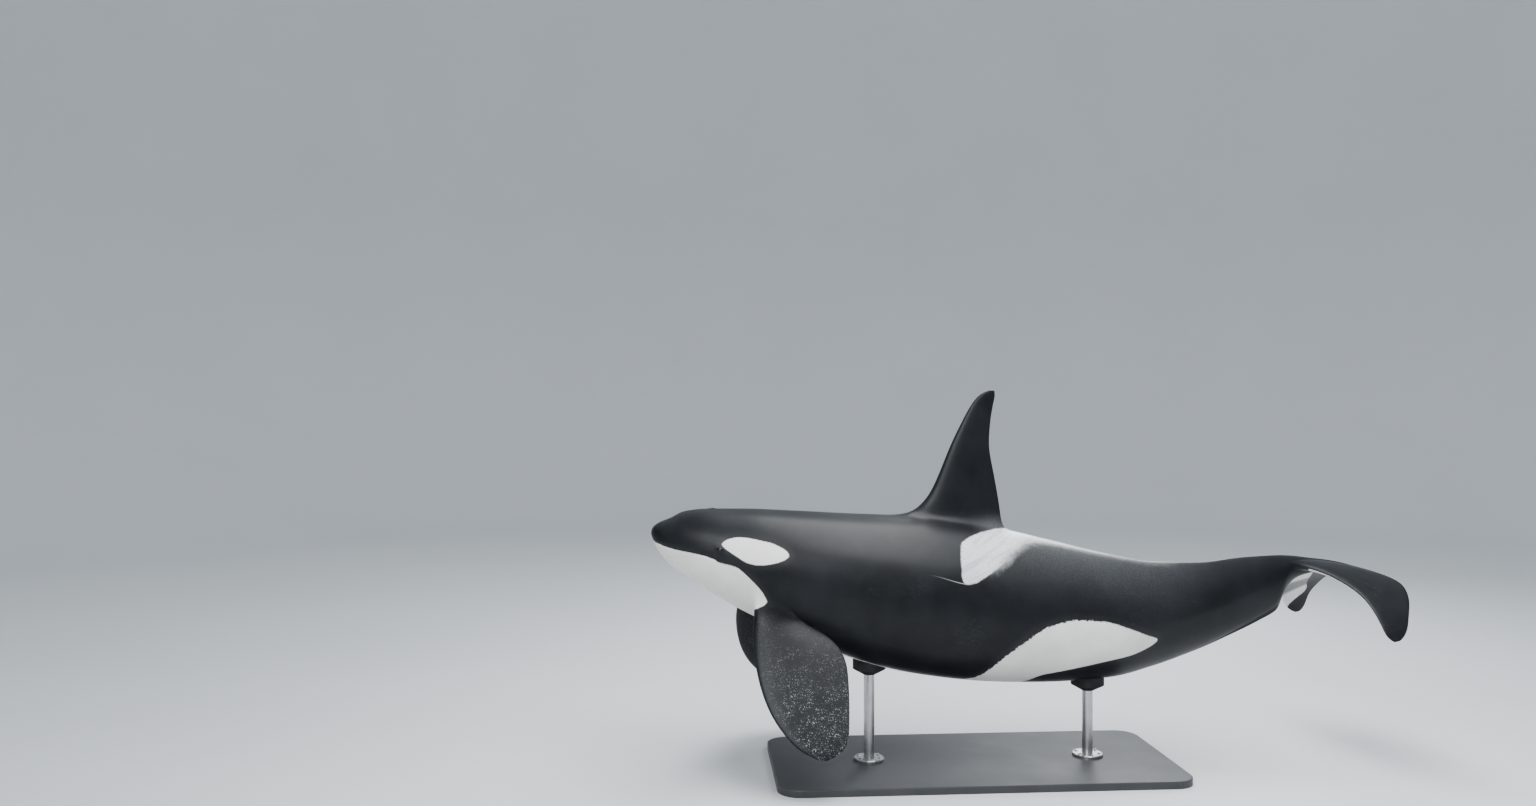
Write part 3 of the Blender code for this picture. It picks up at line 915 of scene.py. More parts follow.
def insideWhite(at):
    y, fromBelly = at["y"], at["fromBelly"]
    fromSide = np.column_stack((y, fromBelly))
    jaw = insideDistance(fromSide, closedCurve(markings["jawWhite"]))
    followsMouth = 1 - smoothStep(*markings["jawFollowsMouth"], y)
    jaw = jaw * (1 - followsMouth) - (at["aboveMouth"] + markings["belowLips"]) * followsMouth
    ventral = curvesOf(markings["bellyBand"])[0](y) - fromBelly
    throat = joined(jaw, ventral, markings["throatCorner"])
    white = np.where(y < markings["jawFollowsMouth"][1], jaw, throat)
    lobe = insideDistance(fromSide, closedCurve(markings["flankLobe"]))
    patch = insideDistance(np.column_stack((y, at["z"])), closedCurve(markings["eyePatch"]))
    white = np.maximum.reduce([white, lobe, patch])
    start, height, rise = markings["flipperTop"]
    most, fade, _ = markings["finFade"]
    overRoot = np.where(at["onFlipper"] > 0, at["z"] - height - rise * (y - start), most - fade)
    white = np.minimum(white, np.maximum(most - fade * at["fins"], np.minimum(overRoot, most)))
    return np.where(at["onFluke"] > 0.5, insideFlukeWhite(at), white)


def insideFlukeWhite(at):
    # only on the underside
    span = np.column_stack((at["finShare"] * fluke["span"], at["chord"] * markings["flukeChord"]))
    white = insideDistance(span, closedCurve(markings["flukeWhite"]))
    return np.where(at["under"] > 0, white, -markings["reach"])


def streakOnFluke(at):
    slanted = at["finShare"] + markings["streakSlant"] * at["chord"]
    (outer, full), (fading, inner) = markings["flukeStreak"]
    streak = smoothStep(outer, full, slanted) * (1 - smoothStep(fading, inner, slanted))
    return streak * at["onFluke"]


def insideSaddle(at):
    most, _, fade = markings["finFade"]
    saddle = insideDistance(np.column_stack((at["y"], at["fromBack"])), closedCurve(markings["saddle"]))
    saddle = np.where(at["z"] < markings["underBelly"], -markings["saddleReach"], saddle)
    return np.minimum(saddle, most - fade * at["fins"])


def softSaddle(at):
    below, behind = markings["saddleTop"]
    soft = np.maximum(smoothStep(*below, at["fromBack"]), smoothStep(*behind, at["y"]))
    return smoothStep(*markings["saddleSoft"], at["y"]) * soft


def wispBeforeSaddle(at):
    # distance from its line, and how strong it is
    (start, end), (high, low) = markings["wisp"]
    reach = smoothStep(start, end, at["y"])
    away = at["fromBack"] - high - (low - high) * reach
    return away, reach * (1 - smoothStep(end, end + markings["wispEnd"], at["y"])) * (1 - at["fins"])


def frayed(at):
    start, end = (smoothStep(*places, at["y"]) for places in markings["ragged"])
    above = markings["raggedAbove"]
    upperEdge = (at["y"] < markings["ragged"][1][0] - above) | (at["fromBelly"] > above)
    return start * (1 - end) * upperEdge


def fleckShare(at):
    alongSpan, alongChord, least = markings["flecks"]
    share = smoothStep(*alongSpan, at["finShare"]) * smoothStep(*alongChord, at["chord"])
    return at["onFlipper"] * (least + (1 - least) * share)


def paintMarkings(skin):
    mesh = skin.data
    at = measureSkin(mesh)
    near, far = markings["reach"], markings["saddleReach"]
    y = at["y"]
    fromWisp, wispReach = wispBeforeSaddle(at)
    # painted water light, strongest near the back's middle behind the saddle
    paintedWaterLightAndStreak = curvesOf(markings["paintedWaterLightAndStreak"])[0](y) * np.exp(-((at["fromBack"] / markings["paintedWaterLightDepth"]) ** 2))
    lips = np.where(y < mouth["line"][-1][0], np.abs(at["aboveMouth"]), 1.0)
    painted = {
        "whiteInside": np.clip(insideWhite(at), -near, near),
        "ragged": frayed(at),
        "flukeStreak": streakOnFluke(at),
        "saddleInside": np.clip(insideSaddle(at), -far, far),
        "saddleStrength": curvesOf(markings["saddleStrength"])[0](y),
        "saddleSoft": softSaddle(at),
        "fromWisp": np.clip(fromWisp, -near, near),
        "wispReach": wispReach,
        "paintedWaterLightAndStreak": paintedWaterLightAndStreak * (1 - at["fins"]),
        "speckles": fleckShare(at),
        "fromLips": np.clip(lips, 0, near),
        "inside": at["inSlit"],
    }
    for name, values in painted.items():
        setPointValues(mesh, name, values)
    for name in wholeTags + realTags:
        mesh.attributes.remove(mesh.attributes[name])
    print("skin: markings laid out")


# Materials

def startGroup(name, inputs, outputs):
    # inputs without a single number are vectors, outputs are numbers
    group = bpy.data.node_groups.new(name, "ShaderNodeTree")
    for title, value in inputs.items():
        kind = "NodeSocketFloat" if isinstance(value, float) else "NodeSocketVector"
        socket = group.interface.new_socket(title, in_out="INPUT", socket_type=kind)
        if value is not None:
            socket.default_value = value
    for title in outputs:
        group.interface.new_socket(title, in_out="OUTPUT", socket_type="NodeSocketFloat")
    start = group.nodes.new("NodeGroupInput")
    end = group.nodes.new("NodeGroupOutput")
    start.location, end.location = (-900, 0), (700, 0)
    return group, Wiring(group), start.outputs, end.inputs


class Wiring:
    # adds nodes to a tree and joins them
    def __init__(self, tree):
        self.tree = tree
        self.count = 0

    def add(self, kind, sockets=None, **settings):
        node = self.tree.nodes.new(kind)
        self.count += 1
        node.location = (-700 + 180 * (self.count % 7), 300 - 220 * (self.count // 7))
        for name, value in settings.items():
            setattr(node, name, value)
        for name, value in (sockets or {}).items():
            self.give(node.inputs[name], value)
        return node

    def give(self, socket, value):
        if isinstance(value, bpy.types.NodeSocket):
            self.tree.links.new(value, socket)
        else:
            socket.default_value = value

    def math(self, operation, first, second=0.5, clamp=False):
        node = self.add("ShaderNodeMath", operation=operation, use_clamp=clamp)
        self.give(node.inputs[0], first)
        self.give(node.inputs[1], second)
        return node.outputs[0]

    def mixed(self, factor, first, second):
        node = self.add("ShaderNodeMix", data_type="RGBA")
        self.give(node.inputs[0], factor)
        self.give(node.inputs[6], first)
        self.give(node.inputs[7], second)
        return node.outputs[2]

    def ranged(self, value, low, high, start=0.0, end=1.0, smooth=False):
        node = self.add("ShaderNodeMapRange", interpolation_type="SMOOTHSTEP" if smooth else "LINEAR")
        for socket, given in zip(node.inputs[:5], (value, low, high, start, end)):
            self.give(socket, given)
        return node.outputs[0]

    def noise(self, place, scale, detail=4.0, roughness=0.55):
        sockets = {"Vector": place, "Scale": scale, "Detail": detail, "Roughness": roughness}
        return self.add("ShaderNodeTexNoise", sockets).outputs["Fac"]

    def patches(self, place, noise, span, smooth=False):
        # span is the noise that they start and end at, and what they give there
        return self.ranged(self.noise(place, *noise), *span, smooth=smooth)

    def value(self, name):
        return self.add("ShaderNodeAttribute", attribute_name=name).outputs["Fac"]

    def placed(self, place, turn=(0.0, 0.0, 0.0), scale=(1.0, 1.0, 1.0)):
        sockets = {"Vector": place, "Rotation": turn, "Scale": scale}
        return self.add("ShaderNodeMapping", sockets).outputs["Vector"]


def newMaterial(name):
    material = bpy.data.materials.new(name)
    material.use_nodes = True
    shader = material.node_tree.nodes["Principled BSDF"]
    shader.location = (500, 0)
    wiring = Wiring(material.node_tree)
    place = wiring.add("ShaderNodeTexCoord").outputs["Object"]
    return material, shader, wiring, place


def finishSurface(shader, wiring, colour, roughness, height=None, bump=(0.0, 0.0), plain=None):
    # bump is strength and metres, plain values go straight into the shader's sockets
    wiring.give(shader.inputs["Base Color"], colour)
    wiring.give(shader.inputs["Roughness"], roughness)
    if height is not None:
        strength, depth = bump
        node = wiring.add("ShaderNodeBump", {"Strength": strength, "Distance": depth, "Height": height})
        wiring.give(shader.inputs["Normal"], node.outputs["Normal"])
    for name, value in (plain or {}).items():
        shader.inputs[name].default_value = value


def raggedEdgeGroup():
    # turns metres inside an outline into a mask with a slightly ragged edge
    inputs = {"Vector": None, "Inside": 0.0, "Softness": 0.006, "Raggedness": 0.006, "Scale": 30.0}
    group, wiring, given, result = startGroup("ragged edge", inputs, ["Mask"])
    noise = wiring.noise(given["Vector"], given["Scale"], 3.0, 0.6)
    wander = wiring.math("MULTIPLY", wiring.math("SUBTRACT", noise, 0.5), 2.0)
    moved = wiring.math("ADD", given["Inside"], wiring.math("MULTIPLY", wander, given["Raggedness"]))
    low = wiring.math("MULTIPLY", given["Softness"], -1.0)
    wiring.give(result["Mask"], wiring.ranged(moved, low, given["Softness"], smooth=True))
    return group


rakeLook = {
    "stretch": (0.35, 0.9, 14.0),   # long across the body, thin up and down
    "bend": ((1.3, 1.0), 2.2),      # noise and amount
    "width": 0.012,
    "runs": ((2.1, 2.0), (0.54, 0.68)),
}


def rakeMarksGroup():
    # thin pale scratches in short parallel runs
    inputs = {"Vector": None, "Turn": (0.0, 0.0, 0.0), "Scale": 3.0, "Amount": 0.5}
    group, wiring, given, result = startGroup("rake marks", inputs, ["Mask"])
    turned = wiring.placed(given["Vector"], given["Turn"])
    noise, amount = rakeLook["bend"]
    bent = wiring.math("MULTIPLY", wiring.noise(turned, *noise), amount)
    shifted = wiring.add("ShaderNodeVectorMath", operation="ADD")
    wiring.give(shifted.inputs[0], wiring.placed(turned, scale=rakeLook["stretch"]))
    wiring.give(shifted.inputs[1], bent)
    lines = wiring.noise(shifted.outputs[0], given["Scale"], 2.0, 0.7)
    away = wiring.math("ABSOLUTE", wiring.math("SUBTRACT", lines, 0.5))
    thin = wiring.ranged(away, 0.0, rakeLook["width"], 1.0, 0.0)
    some = wiring.patches(turned, *rakeLook["runs"], smooth=True)
    mask = wiring.math("MULTIPLY", wiring.math("MULTIPLY", thin, some), given["Amount"], clamp=True)
    wiring.give(result["Mask"], mask)
    return group


# each noise: waves to the metre, detail, roughness
grainLook = {
    "broad": (2.4, 5.0, 0.6),
    "ripple": (14.0, 3.0, 0.5),
    "fine": (95.0, 4.0, 0.65),
    "heights": (0.8, 0.25),         # of ripple and fine
}


def skinGrainGroup():
    # broad unevenness, fine grain and tiny dents
    outputs = ["Broad", "Fine", "Height"]
    group, wiring, given, result = startGroup("skin grain", {"Vector": None}, outputs)
    place = given["Vector"]
    ripple, fine = (wiring.noise(place, *grainLook[kind]) for kind in ("ripple", "fine"))
    heights = [wiring.math("MULTIPLY", *pair) for pair in zip((ripple, fine), grainLook["heights"])]
    wiring.give(result["Broad"], wiring.noise(place, *grainLook["broad"]))
    wiring.give(result["Fine"], fine)
    wiring.give(result["Height"], wiring.math("ADD", *heights))
    return group


skinLook = {
    "black": (0.0085, 0.0095, 0.0115, 1.0),
    "blackWorn": (0.019, 0.021, 0.025, 1.0),
    "white": (0.80, 0.795, 0.755, 1.0),
    "whiteShade": (0.66, 0.665, 0.64, 1.0),
    "saddle": (0.62, 0.635, 0.64, 1.0),
    "fleck": (0.27, 0.28, 0.29, 1.0),
    # a grey for the painted water light and glow on the black, and for the grey streak across the flukes'
    # white
    "paintedWaterLightAndStreak": (0.17, 0.175, 0.18, 1.0),
    "rake": (0.050, 0.053, 0.057, 1.0),
    "rakeOnWhite": (0.42, 0.42, 0.41, 1.0),
    "inside": (0.010, 0.009, 0.010, 1.0),
    "rakes": (((0.35, 0.0, 0.2), 3.2, 0.7), ((-0.5, 0.1, 0.0), 4.1, 0.6)),   # turn, scale, amount
    "rakeShows": (0.35, 0.15, 0.04),   # on the white, in the roughness and in the height
    "worn": (0.35, 0.75),              # the broad unevenness between which the black wears
    "shaded": (0.30, 0.70),            # and between which the white is shaded
    "fleckSizes": ((52.0, 0.36), (84.0, 0.42), (150.0, 0.48)),   # cells to the metre, largest radius
    "fleckLeast": 0.15,                # share of the cells that stay empty
    "fleckEdge": 0.10,
    "fleckClouds": ((13.0, 4.0, 0.65), (0.36, 0.58)),
    # grain of the painted water light and glow
    "paintedLightGrain": ((130.0, 4.0, 0.85), (0.42, 0.64, 0.15, 1.0)),
    "paintedGlow": (-0.075, 0.16),            # painted glow round the white: how far from the white it starts, and its strength
    "crispEdge": (0.008, 0.010, 26.0),   # softness, raggedness and scale
    "softEdge": (0.060, 0.030, 20.0),
    "whiteEdge": (0.005, 0.005, 0.024, 44.0),   # softness, least and most raggedness, scale
    "streakTurn": (math.radians(-24), 0.0, 0.0),
    "streakScale": (6.0, 1.6, 46.0),
    "streaks": ((1.0, 2.0, 0.5), (0.34, 0.50, 0.80, 1.0)),
    "streakGrain": (0.3, 0.6, 0.7, 0.95),   # on the flukes
    "mottle": ((60.0, 3.0, 0.7), (0.25, 0.6, 0.75, 1.0)),
    "wisp": (0.0045, 0.001),
    "wispStrength": 0.55,
    "lips": (0.0035, 0.0015),
    "roughness": (0.3, 0.7, 0.33, 0.46),   # the grain that it starts and ends at, and what it is there
    "bump": (0.6, 0.0009),
    "plain": {"Specular IOR Level": 0.30, "Coat Weight": 0.05, "Coat Roughness": 0.20},
}


def fleckMask(wiring, place):
    # pale flecks on the flippers, each with its own size
    chance = wiring.patches(place, *skinLook["fleckClouds"], smooth=True)
    flecks = 0.0
    for scale, size in skinLook["fleckSizes"]:
        cells = wiring.add("ShaderNodeTexVoronoi", {"Vector": place, "Scale": scale, "Randomness": 1.0})
        own = wiring.add("ShaderNodeSeparateColor", {"Color": cells.outputs["Color"]}).outputs["Red"]
        radius = wiring.ranged(own, skinLook["fleckLeast"], 1.0, 0.0, size)
        inDot = wiring.math("SUBTRACT", radius, cells.outputs["Distance"])
        dot = wiring.ranged(inDot, 0.0, skinLook["fleckEdge"])
        flecks = wiring.math("MAXIMUM", flecks, dot)
    return wiring.math("MULTIPLY", wiring.math("MULTIPLY", flecks, chance), wiring.value("speckles"))


def paintedLightMask(wiring, place):
    # painted light: a grainy speckle of water light on the back behind the saddle, and a painted glow round
    # the white
    paintedLightGrain = wiring.patches(place, *skinLook["paintedLightGrain"])
    # a painted glow on the black next to the white
    start, strength = skinLook["paintedGlow"]
    paintedGlow = wiring.ranged(wiring.value("whiteInside"), start, 0.0, 0.0, strength, smooth=True)
    return wiring.math("MULTIPLY", wiring.math("MAXIMUM", wiring.value("paintedWaterLightAndStreak"), paintedGlow), paintedLightGrain, clamp=True)


def saddleMask(wiring, place, edge):
    # crisp in front, soft and fading behind, with slanting streaks, and a thin wisp in front of it
    saddle = wiring.add("ShaderNodeMix", data_type="FLOAT")
    kinds = [edge("saddleInside", *skinLook[kind]) for kind in ("crispEdge", "softEdge")]
    for socket, value in zip(saddle.inputs[:1] + saddle.inputs[2:4], [wiring.value("saddleSoft")] + kinds):
        wiring.give(socket, value)
    drawn = wiring.placed(wiring.placed(place, skinLook["streakTurn"]), scale=skinLook["streakScale"])
    streaks = wiring.patches(drawn, *skinLook["streaks"], smooth=True)
    mottled = wiring.patches(place, *skinLook["mottle"])
    saddle = wiring.math("MULTIPLY", wiring.math("MULTIPLY", saddle.outputs[0], streaks), mottled)
    saddle = wiring.math("MULTIPLY", saddle, wiring.value("saddleStrength"))
    away = wiring.math("ABSOLUTE", wiring.value("fromWisp"))
    thin = wiring.ranged(away, *skinLook["wisp"], smooth=True)
    wisp = wiring.math("MULTIPLY", thin, wiring.value("wispReach"))
    return wiring.math("MAXIMUM", saddle, wiring.math("MULTIPLY", wisp, skinLook["wispStrength"]), clamp=True)


def skinMaterial():
    material, shader, wiring, place = newMaterial("orca skin")
    grain = wiring.add("ShaderNodeGroup", {"Vector": place}, node_tree=skinGrainGroup()).outputs
    edgeGroup, rakeGroup = raggedEdgeGroup(), rakeMarksGroup()

    def edge(attribute, softness, raggedness, scale):
        sockets = {"Vector": place, "Inside": wiring.value(attribute), "Scale": scale}
        sockets.update(Softness=softness, Raggedness=raggedness)
        return wiring.add("ShaderNodeGroup", sockets, node_tree=edgeGroup).outputs["Mask"]

    def rakeRun(turn, scale, amount):
        sockets = {"Vector": place, "Turn": turn, "Scale": scale, "Amount": amount}
        return wiring.add("ShaderNodeGroup", sockets, node_tree=rakeGroup).outputs["Mask"]

    rakes = wiring.math("MAXIMUM", *(rakeRun(*run) for run in skinLook["rakes"]))
    rakeShows = (wiring.math("MULTIPLY", rakes, share) for share in skinLook["rakeShows"])
    onWhite, inRoughness, inHeight = rakeShows
    worn = wiring.ranged(grain["Broad"], *skinLook["worn"])
    dark = wiring.mixed(worn, skinLook["black"], skinLook["blackWorn"])
    dark = wiring.mixed(rakes, dark, skinLook["rake"])
    dark = wiring.mixed(fleckMask(wiring, place), dark, skinLook["fleck"])
    # painted light: grainy water light on the back and a glow round the white
    dark = wiring.mixed(paintedLightMask(wiring, place), dark, skinLook["paintedWaterLightAndStreak"])
    dark = wiring.mixed(saddleMask(wiring, place, edge), dark, skinLook["saddle"])

    # white jaw, belly, eye patch, flank lobe and flukes
    shade = wiring.ranged(grain["Broad"], *skinLook["shaded"])
    pale = wiring.mixed(shade, skinLook["white"], skinLook["whiteShade"])
    pale = wiring.mixed(onWhite, pale, skinLook["rakeOnWhite"])
    grainy = wiring.ranged(grain["Fine"], *skinLook["streakGrain"])
    streak = wiring.math("MULTIPLY", wiring.value("flukeStreak"), grainy)
    pale = wiring.mixed(streak, pale, skinLook["paintedWaterLightAndStreak"])
    softness, low, high, scale = skinLook["whiteEdge"]
    raggedness = wiring.ranged(wiring.value("ragged"), 0.0, 1.0, low, high)
    colour = wiring.mixed(edge("whiteInside", softness, raggedness, scale), dark, pale)
    lips = wiring.ranged(wiring.value("fromLips"), *skinLook["lips"], smooth=True)
    colour = wiring.mixed(wiring.math("MAXIMUM", lips, wiring.value("inside")), colour, skinLook["inside"])

    rough = wiring.math("ADD", wiring.ranged(grain["Fine"], *skinLook["roughness"]), inRoughness)
    height = wiring.math("SUBTRACT", grain["Height"], inHeight)
    finishSurface(shader, wiring, colour, rough, height, skinLook["bump"], skinLook["plain"])
    return material


eyeLook = {
    "iris": ((0.006, 0.004, 0.003, 1.0), (0.020, 0.012, 0.008, 1.0)),
    "white": (0.013, 0.011, 0.012, 1.0),
    "pupil": (0.002, 0.002, 0.003, 1.0),
    "edges": (0.10, 0.03),             # radians that the iris and the pupil take to end
    "streaks": (420.0, 4.0, 0.7),
    "colourSpan": (0.3, 0.7),
    "roughness": ((60.0, 4.0), (0.3, 0.7, 0.04, 0.09)),
    "bump": (0.15, 0.0004),
    "plain": {"Coat Weight": 1.0, "Coat Roughness": 0.03},
}


def eyeMaterial():
    material, shader, wiring, place = newMaterial("orca eye")
    turn = wiring.value("fromPupil")
    irisEdge, pupilEdge = eyeLook["edges"]
    streaks = wiring.noise(place, *eyeLook["streaks"])
    colour = wiring.mixed(wiring.ranged(streaks, *eyeLook["colourSpan"]), *eyeLook["iris"])
    pastIris = wiring.ranged(turn, eye["iris"], eye["iris"] + irisEdge)
    colour = wiring.mixed(pastIris, colour, eyeLook["white"])
    inPupil = wiring.ranged(turn, eye["pupil"] + pupilEdge, eye["pupil"])
    colour = wiring.mixed(inPupil, colour, eyeLook["pupil"])
    rough = wiring.patches(place, *eyeLook["roughness"])
    finishSurface(shader, wiring, colour, rough, streaks, eyeLook["bump"], eyeLook["plain"])
    return material


# each finish: a noise for its clouds and a finer one for its grain, the span of the clouds over
# which its two colours mix, and the span over which its roughness changes
boardLook = {
    "clouds": (2.2, 6.0, 0.6),
    "grain": (260.0, 2.0, 0.5),
    "colourSpan": (0.35, 0.7),
    "colours": ((0.052, 0.054, 0.058, 1.0), (0.066, 0.068, 0.072, 1.0)),
    "dust": (0.16, 0.155, 0.145, 1.0),
    "dustPatches": ((46.0, 5.0, 0.75), (0.60, 0.80, 0.0, 0.35)),
    "roughness": (0.3, 0.75, 0.36, 0.52),
    "bump": (0.35, 0.0006),
}
steelLook = {
    "clouds": (9.0, 4.0, 0.6),
    "grain": (1.0, 3.0, 0.6),
    "turning": (4.0, 4.0, 900.0),      # the grain runs round the upright axis
    "colourSpan": (0.3, 0.7),
    "colours": ((0.50, 0.50, 0.51, 1.0), (0.60, 0.60, 0.60, 1.0)),
    "roughness": (0.3, 0.7, 0.26, 0.42),
    "bump": (0.25, 0.0004),
}
rubberLook = {
    "clouds": (16.0, 4.0, 0.6),
    "grain": (380.0, 3.0, 0.7),
    "colourSpan": (0.3, 0.75),
    "colours": ((0.020, 0.020, 0.021, 1.0), (0.040, 0.039, 0.038, 1.0)),
    "roughness": (0.3, 0.7, 0.68, 0.86),
    "bump": (0.4, 0.0008),
}
floorLook = {
    "clouds": (0.35, 3.0, 0.5),
    "colours": ((0.60, 0.61, 0.62, 1.0), (0.64, 0.65, 0.66, 1.0)),
    "roughness": (0.3, 0.7, 0.75, 0.85),
}


def boardMaterial():
    # dark satin paint over a board, with a little dust and wear
    material, shader, wiring, place = newMaterial("painted board")
    cloud = wiring.noise(place, *boardLook["clouds"])
    colour = wiring.mixed(wiring.ranged(cloud, *boardLook["colourSpan"]), *boardLook["colours"])
    dusty = wiring.patches(place, *boardLook["dustPatches"])
    colour = wiring.mixed(dusty, colour, boardLook["dust"])
    rough = wiring.ranged(cloud, *boardLook["roughness"])
    finishSurface(shader, wiring, colour, rough, wiring.noise(place, *boardLook["grain"]), boardLook["bump"])
    return material


def steelMaterial():
    # turned steel with a fine grain round its axis
    material, shader, wiring, place = newMaterial("turned steel")
    grain = wiring.noise(wiring.placed(place, scale=steelLook["turning"]), *steelLook["grain"])
    cloud = wiring.noise(place, *steelLook["clouds"])
    colour = wiring.mixed(wiring.ranged(cloud, *steelLook["colourSpan"]), *steelLook["colours"])
    rough = wiring.ranged(grain, *steelLook["roughness"])
    finishSurface(shader, wiring, colour, rough, grain, steelLook["bump"], {"Metallic": 1.0})
    return material


def rubberMaterial():
    material, shader, wiring, place = newMaterial("pad rubber")
    grain = wiring.noise(place, *rubberLook["grain"])
    cloud = wiring.noise(place, *rubberLook["clouds"])
    colour = wiring.mixed(wiring.ranged(cloud, *rubberLook["colourSpan"]), *rubberLook["colours"])
    rough = wiring.ranged(grain, *rubberLook["roughness"])
    finishSurface(shader, wiring, colour, rough, grain, rubberLook["bump"])
    return material


def floorMaterial():
    material, shader, wiring, place = newMaterial("pale floor")
    cloud = wiring.noise(place, *floorLook["clouds"])
    rough = wiring.ranged(cloud, *floorLook["roughness"])
    finishSurface(shader, wiring, wiring.mixed(cloud, *floorLook["colours"]), rough)
    return material


# Pieces

def openPiece():
    bpy.ops.object.mode_set(mode="EDIT")
    bpy.ops.mesh.select_all(action="SELECT")


def settle(piece, material, nodes=()):
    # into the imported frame, faces outward, finish and slot
    bpy.ops.object.select_all(action="DESELECT")
    bpy.context.view_layer.objects.active = piece
    piece.select_set(True)
    openPiece()
    bpy.ops.transform.translate(value=toFrame)
    bpy.ops.mesh.select_all(action="SELECT")
    bpy.ops.mesh.normals_make_consistent(inside=False)
    bpy.ops.object.mode_set(mode="OBJECT")
    piece.data.materials.clear()
    piece.data.materials.append(material)
    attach(piece, "root")
    if nodes:
        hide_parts(*nodes)


def modelEye(side):
    normal, _, _ = eyeDirections(side)
    y, z = eye["place"]
    surface = Vector((signs[side] * float(flankAt(y, z)), y, z))
    centre = surface - normal * eye["sunk"]
    turned = normal.to_track_quat("Z", "Y").to_euler()
    segments, rings = eye["ballFaces"]
    bpy.ops.mesh.primitive_uv_sphere_add(
        segments=segments, ring_count=rings, radius=eye["ball"], location=centre, rotation=turned
    )
    ball = bpy.context.object
    ball.name = ball.data.name = "eye" + side.capitalize()
    bpy.ops.object.transform_apply(location=True, rotation=True, scale=True)
    places = np.zeros(len(ball.data.vertices) * 3)
    ball.data.vertices.foreach_get("co", places)
    away = places.reshape(-1, 3) - np.array(centre)
    turn = np.arccos(np.clip(away @ np.array(normal) / eye["ball"], -1, 1))
    edge, bulge = eye["cornea"]
    lift = bulge * (1 - np.clip(turn / edge, 0, 1) ** 2)
    away *= (1 + lift / eye["ball"])[:, None]
    ball.data.vertices.foreach_set("co", (away + np.array(centre)).ravel())
    setPointValues(ball.data, "fromPupil", turn)
    bpy.ops.object.shade_smooth()
    return ball


standBolts = {
    "radius": 0.011,
    "height": 0.009,
    "circle": 0.098,         # radius of the ring that they stand on
    "count": 6,
    "headTurn": 1.7,         # each head is turned by this share of its place on the ring
    "washer": (0.018, 0.0025),   # radius and thickness
    "washerEdge": 0.25,      # share of its thickness
    "chamfer": (0.0022, 0.0012),   # how wide and how high
    "dish": (0.0030, 0.0010),      # how far from the chamfer, and how deep
    "edge": 0.0005,
    "smoothBelow": math.radians(35),
}


def modelBolt():
    # a washer, and a hexagonal head whose top edge is chamfered and whose middle is dished
    radius, height = standBolts["washer"]
    bpy.ops.mesh.primitive_cylinder_add(vertices=24, radius=radius, depth=height, location=(0, 0, height / 2))
    washer = bpy.context.object
    bpy.ops.object.transform_apply(location=True)
    openPiece()
    bpy.ops.mesh.bevel(offset=height * standBolts["washerEdge"], segments=2, affect="EDGES")
    bpy.ops.object.mode_set(mode="OBJECT")
    middle = height + standBolts["height"] / 2
    bpy.ops.mesh.primitive_cylinder_add(
        vertices=6, radius=standBolts["radius"], depth=standBolts["height"], location=(0, 0, middle)
    )
    head = bpy.context.object
    bpy.ops.object.transform_apply(location=True)
    openPiece()
    bpy.ops.mesh.select_all(action="DESELECT")
    bpy.ops.mesh.select_mode(type="FACE")
    mesh = bmesh.from_edit_mesh(head.data)
    for face in mesh.faces:
        face.select_set(face.normal.z > 0.9)   # the top
    mesh.select_flush_mode()
    bmesh.update_edit_mesh(head.data)
    inset, rise = standBolts["chamfer"]
    bpy.ops.mesh.inset(thickness=inset, depth=0.0)
    bpy.ops.transform.translate(value=(0, 0, rise))
    inset, depth = standBolts["dish"]
    bpy.ops.mesh.inset(thickness=inset, depth=-depth)
    bpy.ops.mesh.select_all(action="SELECT")
    bpy.ops.mesh.bevel(offset=standBolts["edge"], segments=1, affect="EDGES")
    bpy.ops.object.mode_set(mode="OBJECT")
    return washer, head


def copyTo(part, place, turn=0.0):
    bpy.ops.object.select_all(action="DESELECT")
    part.select_set(True)
    bpy.context.view_layer.objects.active = part
    bpy.ops.object.duplicate()
    copy = bpy.context.object
    copy.location = place
    copy.rotation_euler.z = turn
    return copy


def modelBolts(end):
    low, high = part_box("stand_foot_" + end)
    middle = (low + high) / 2 - toFrame
    washer, head = modelBolt()
    parts = []
    for k in range(standBolts["count"]):
        turn = math.tau * k / standBolts["count"]
        around = Vector((math.cos(turn), math.sin(turn))) * standBolts["circle"]
        place = (middle.x + around.x, middle.y + around.y, high.z)
        parts += [copyTo(washer, place), copyTo(head, place, turn * standBolts["headTurn"])]
    for part in (washer, head):
        bpy.data.objects.remove(part)
    bpy.ops.object.select_all(action="DESELECT")
    for part in parts:
        part.select_set(True)
    bpy.context.view_layer.objects.active = parts[0]
    bpy.ops.object.join()
    bolts = bpy.context.object
    bpy.ops.object.transform_apply(location=True, rotation=True, scale=True)
    bolts.name = bolts.data.name = "stand_bolts_" + end
    bpy.ops.object.shade_smooth_by_angle(angle=standBolts["smoothBelow"])
    return bolts


def finishNodes(names, material):
    for name in names:
        node = bpy.data.objects[name]
        for holder in node.material_slots:
            holder.link = "OBJECT"
            holder.material = material


skin = modelSkin()
paintMarkings(skin)
settle(skin, skinMaterial(), (
    "head", "lower_jaw", "trunk_front", "trunk_middle", "trunk_rear", "tail_stock",
    "dorsal_fin", "flipper_left", "flipper_right", "fluke_left", "fluke_right",
))
eyeFinish = eyeMaterial()
for side in signs:
    settle(modelEye(side), eyeFinish, ("eye_" + side,))
print("eyes set")

steel = steelMaterial()
rubber = rubberMaterial()
for end in ("front", "rear"):
    settle(modelBolts(end), steel)
    finishNodes(("stand_foot_" + end, "stand_rod_" + end), steel)
    finishNodes(("stand_cradle_" + end,), rubber)
finishNodes(("stand_base",), boardMaterial())
print("stand finished")


# Stage

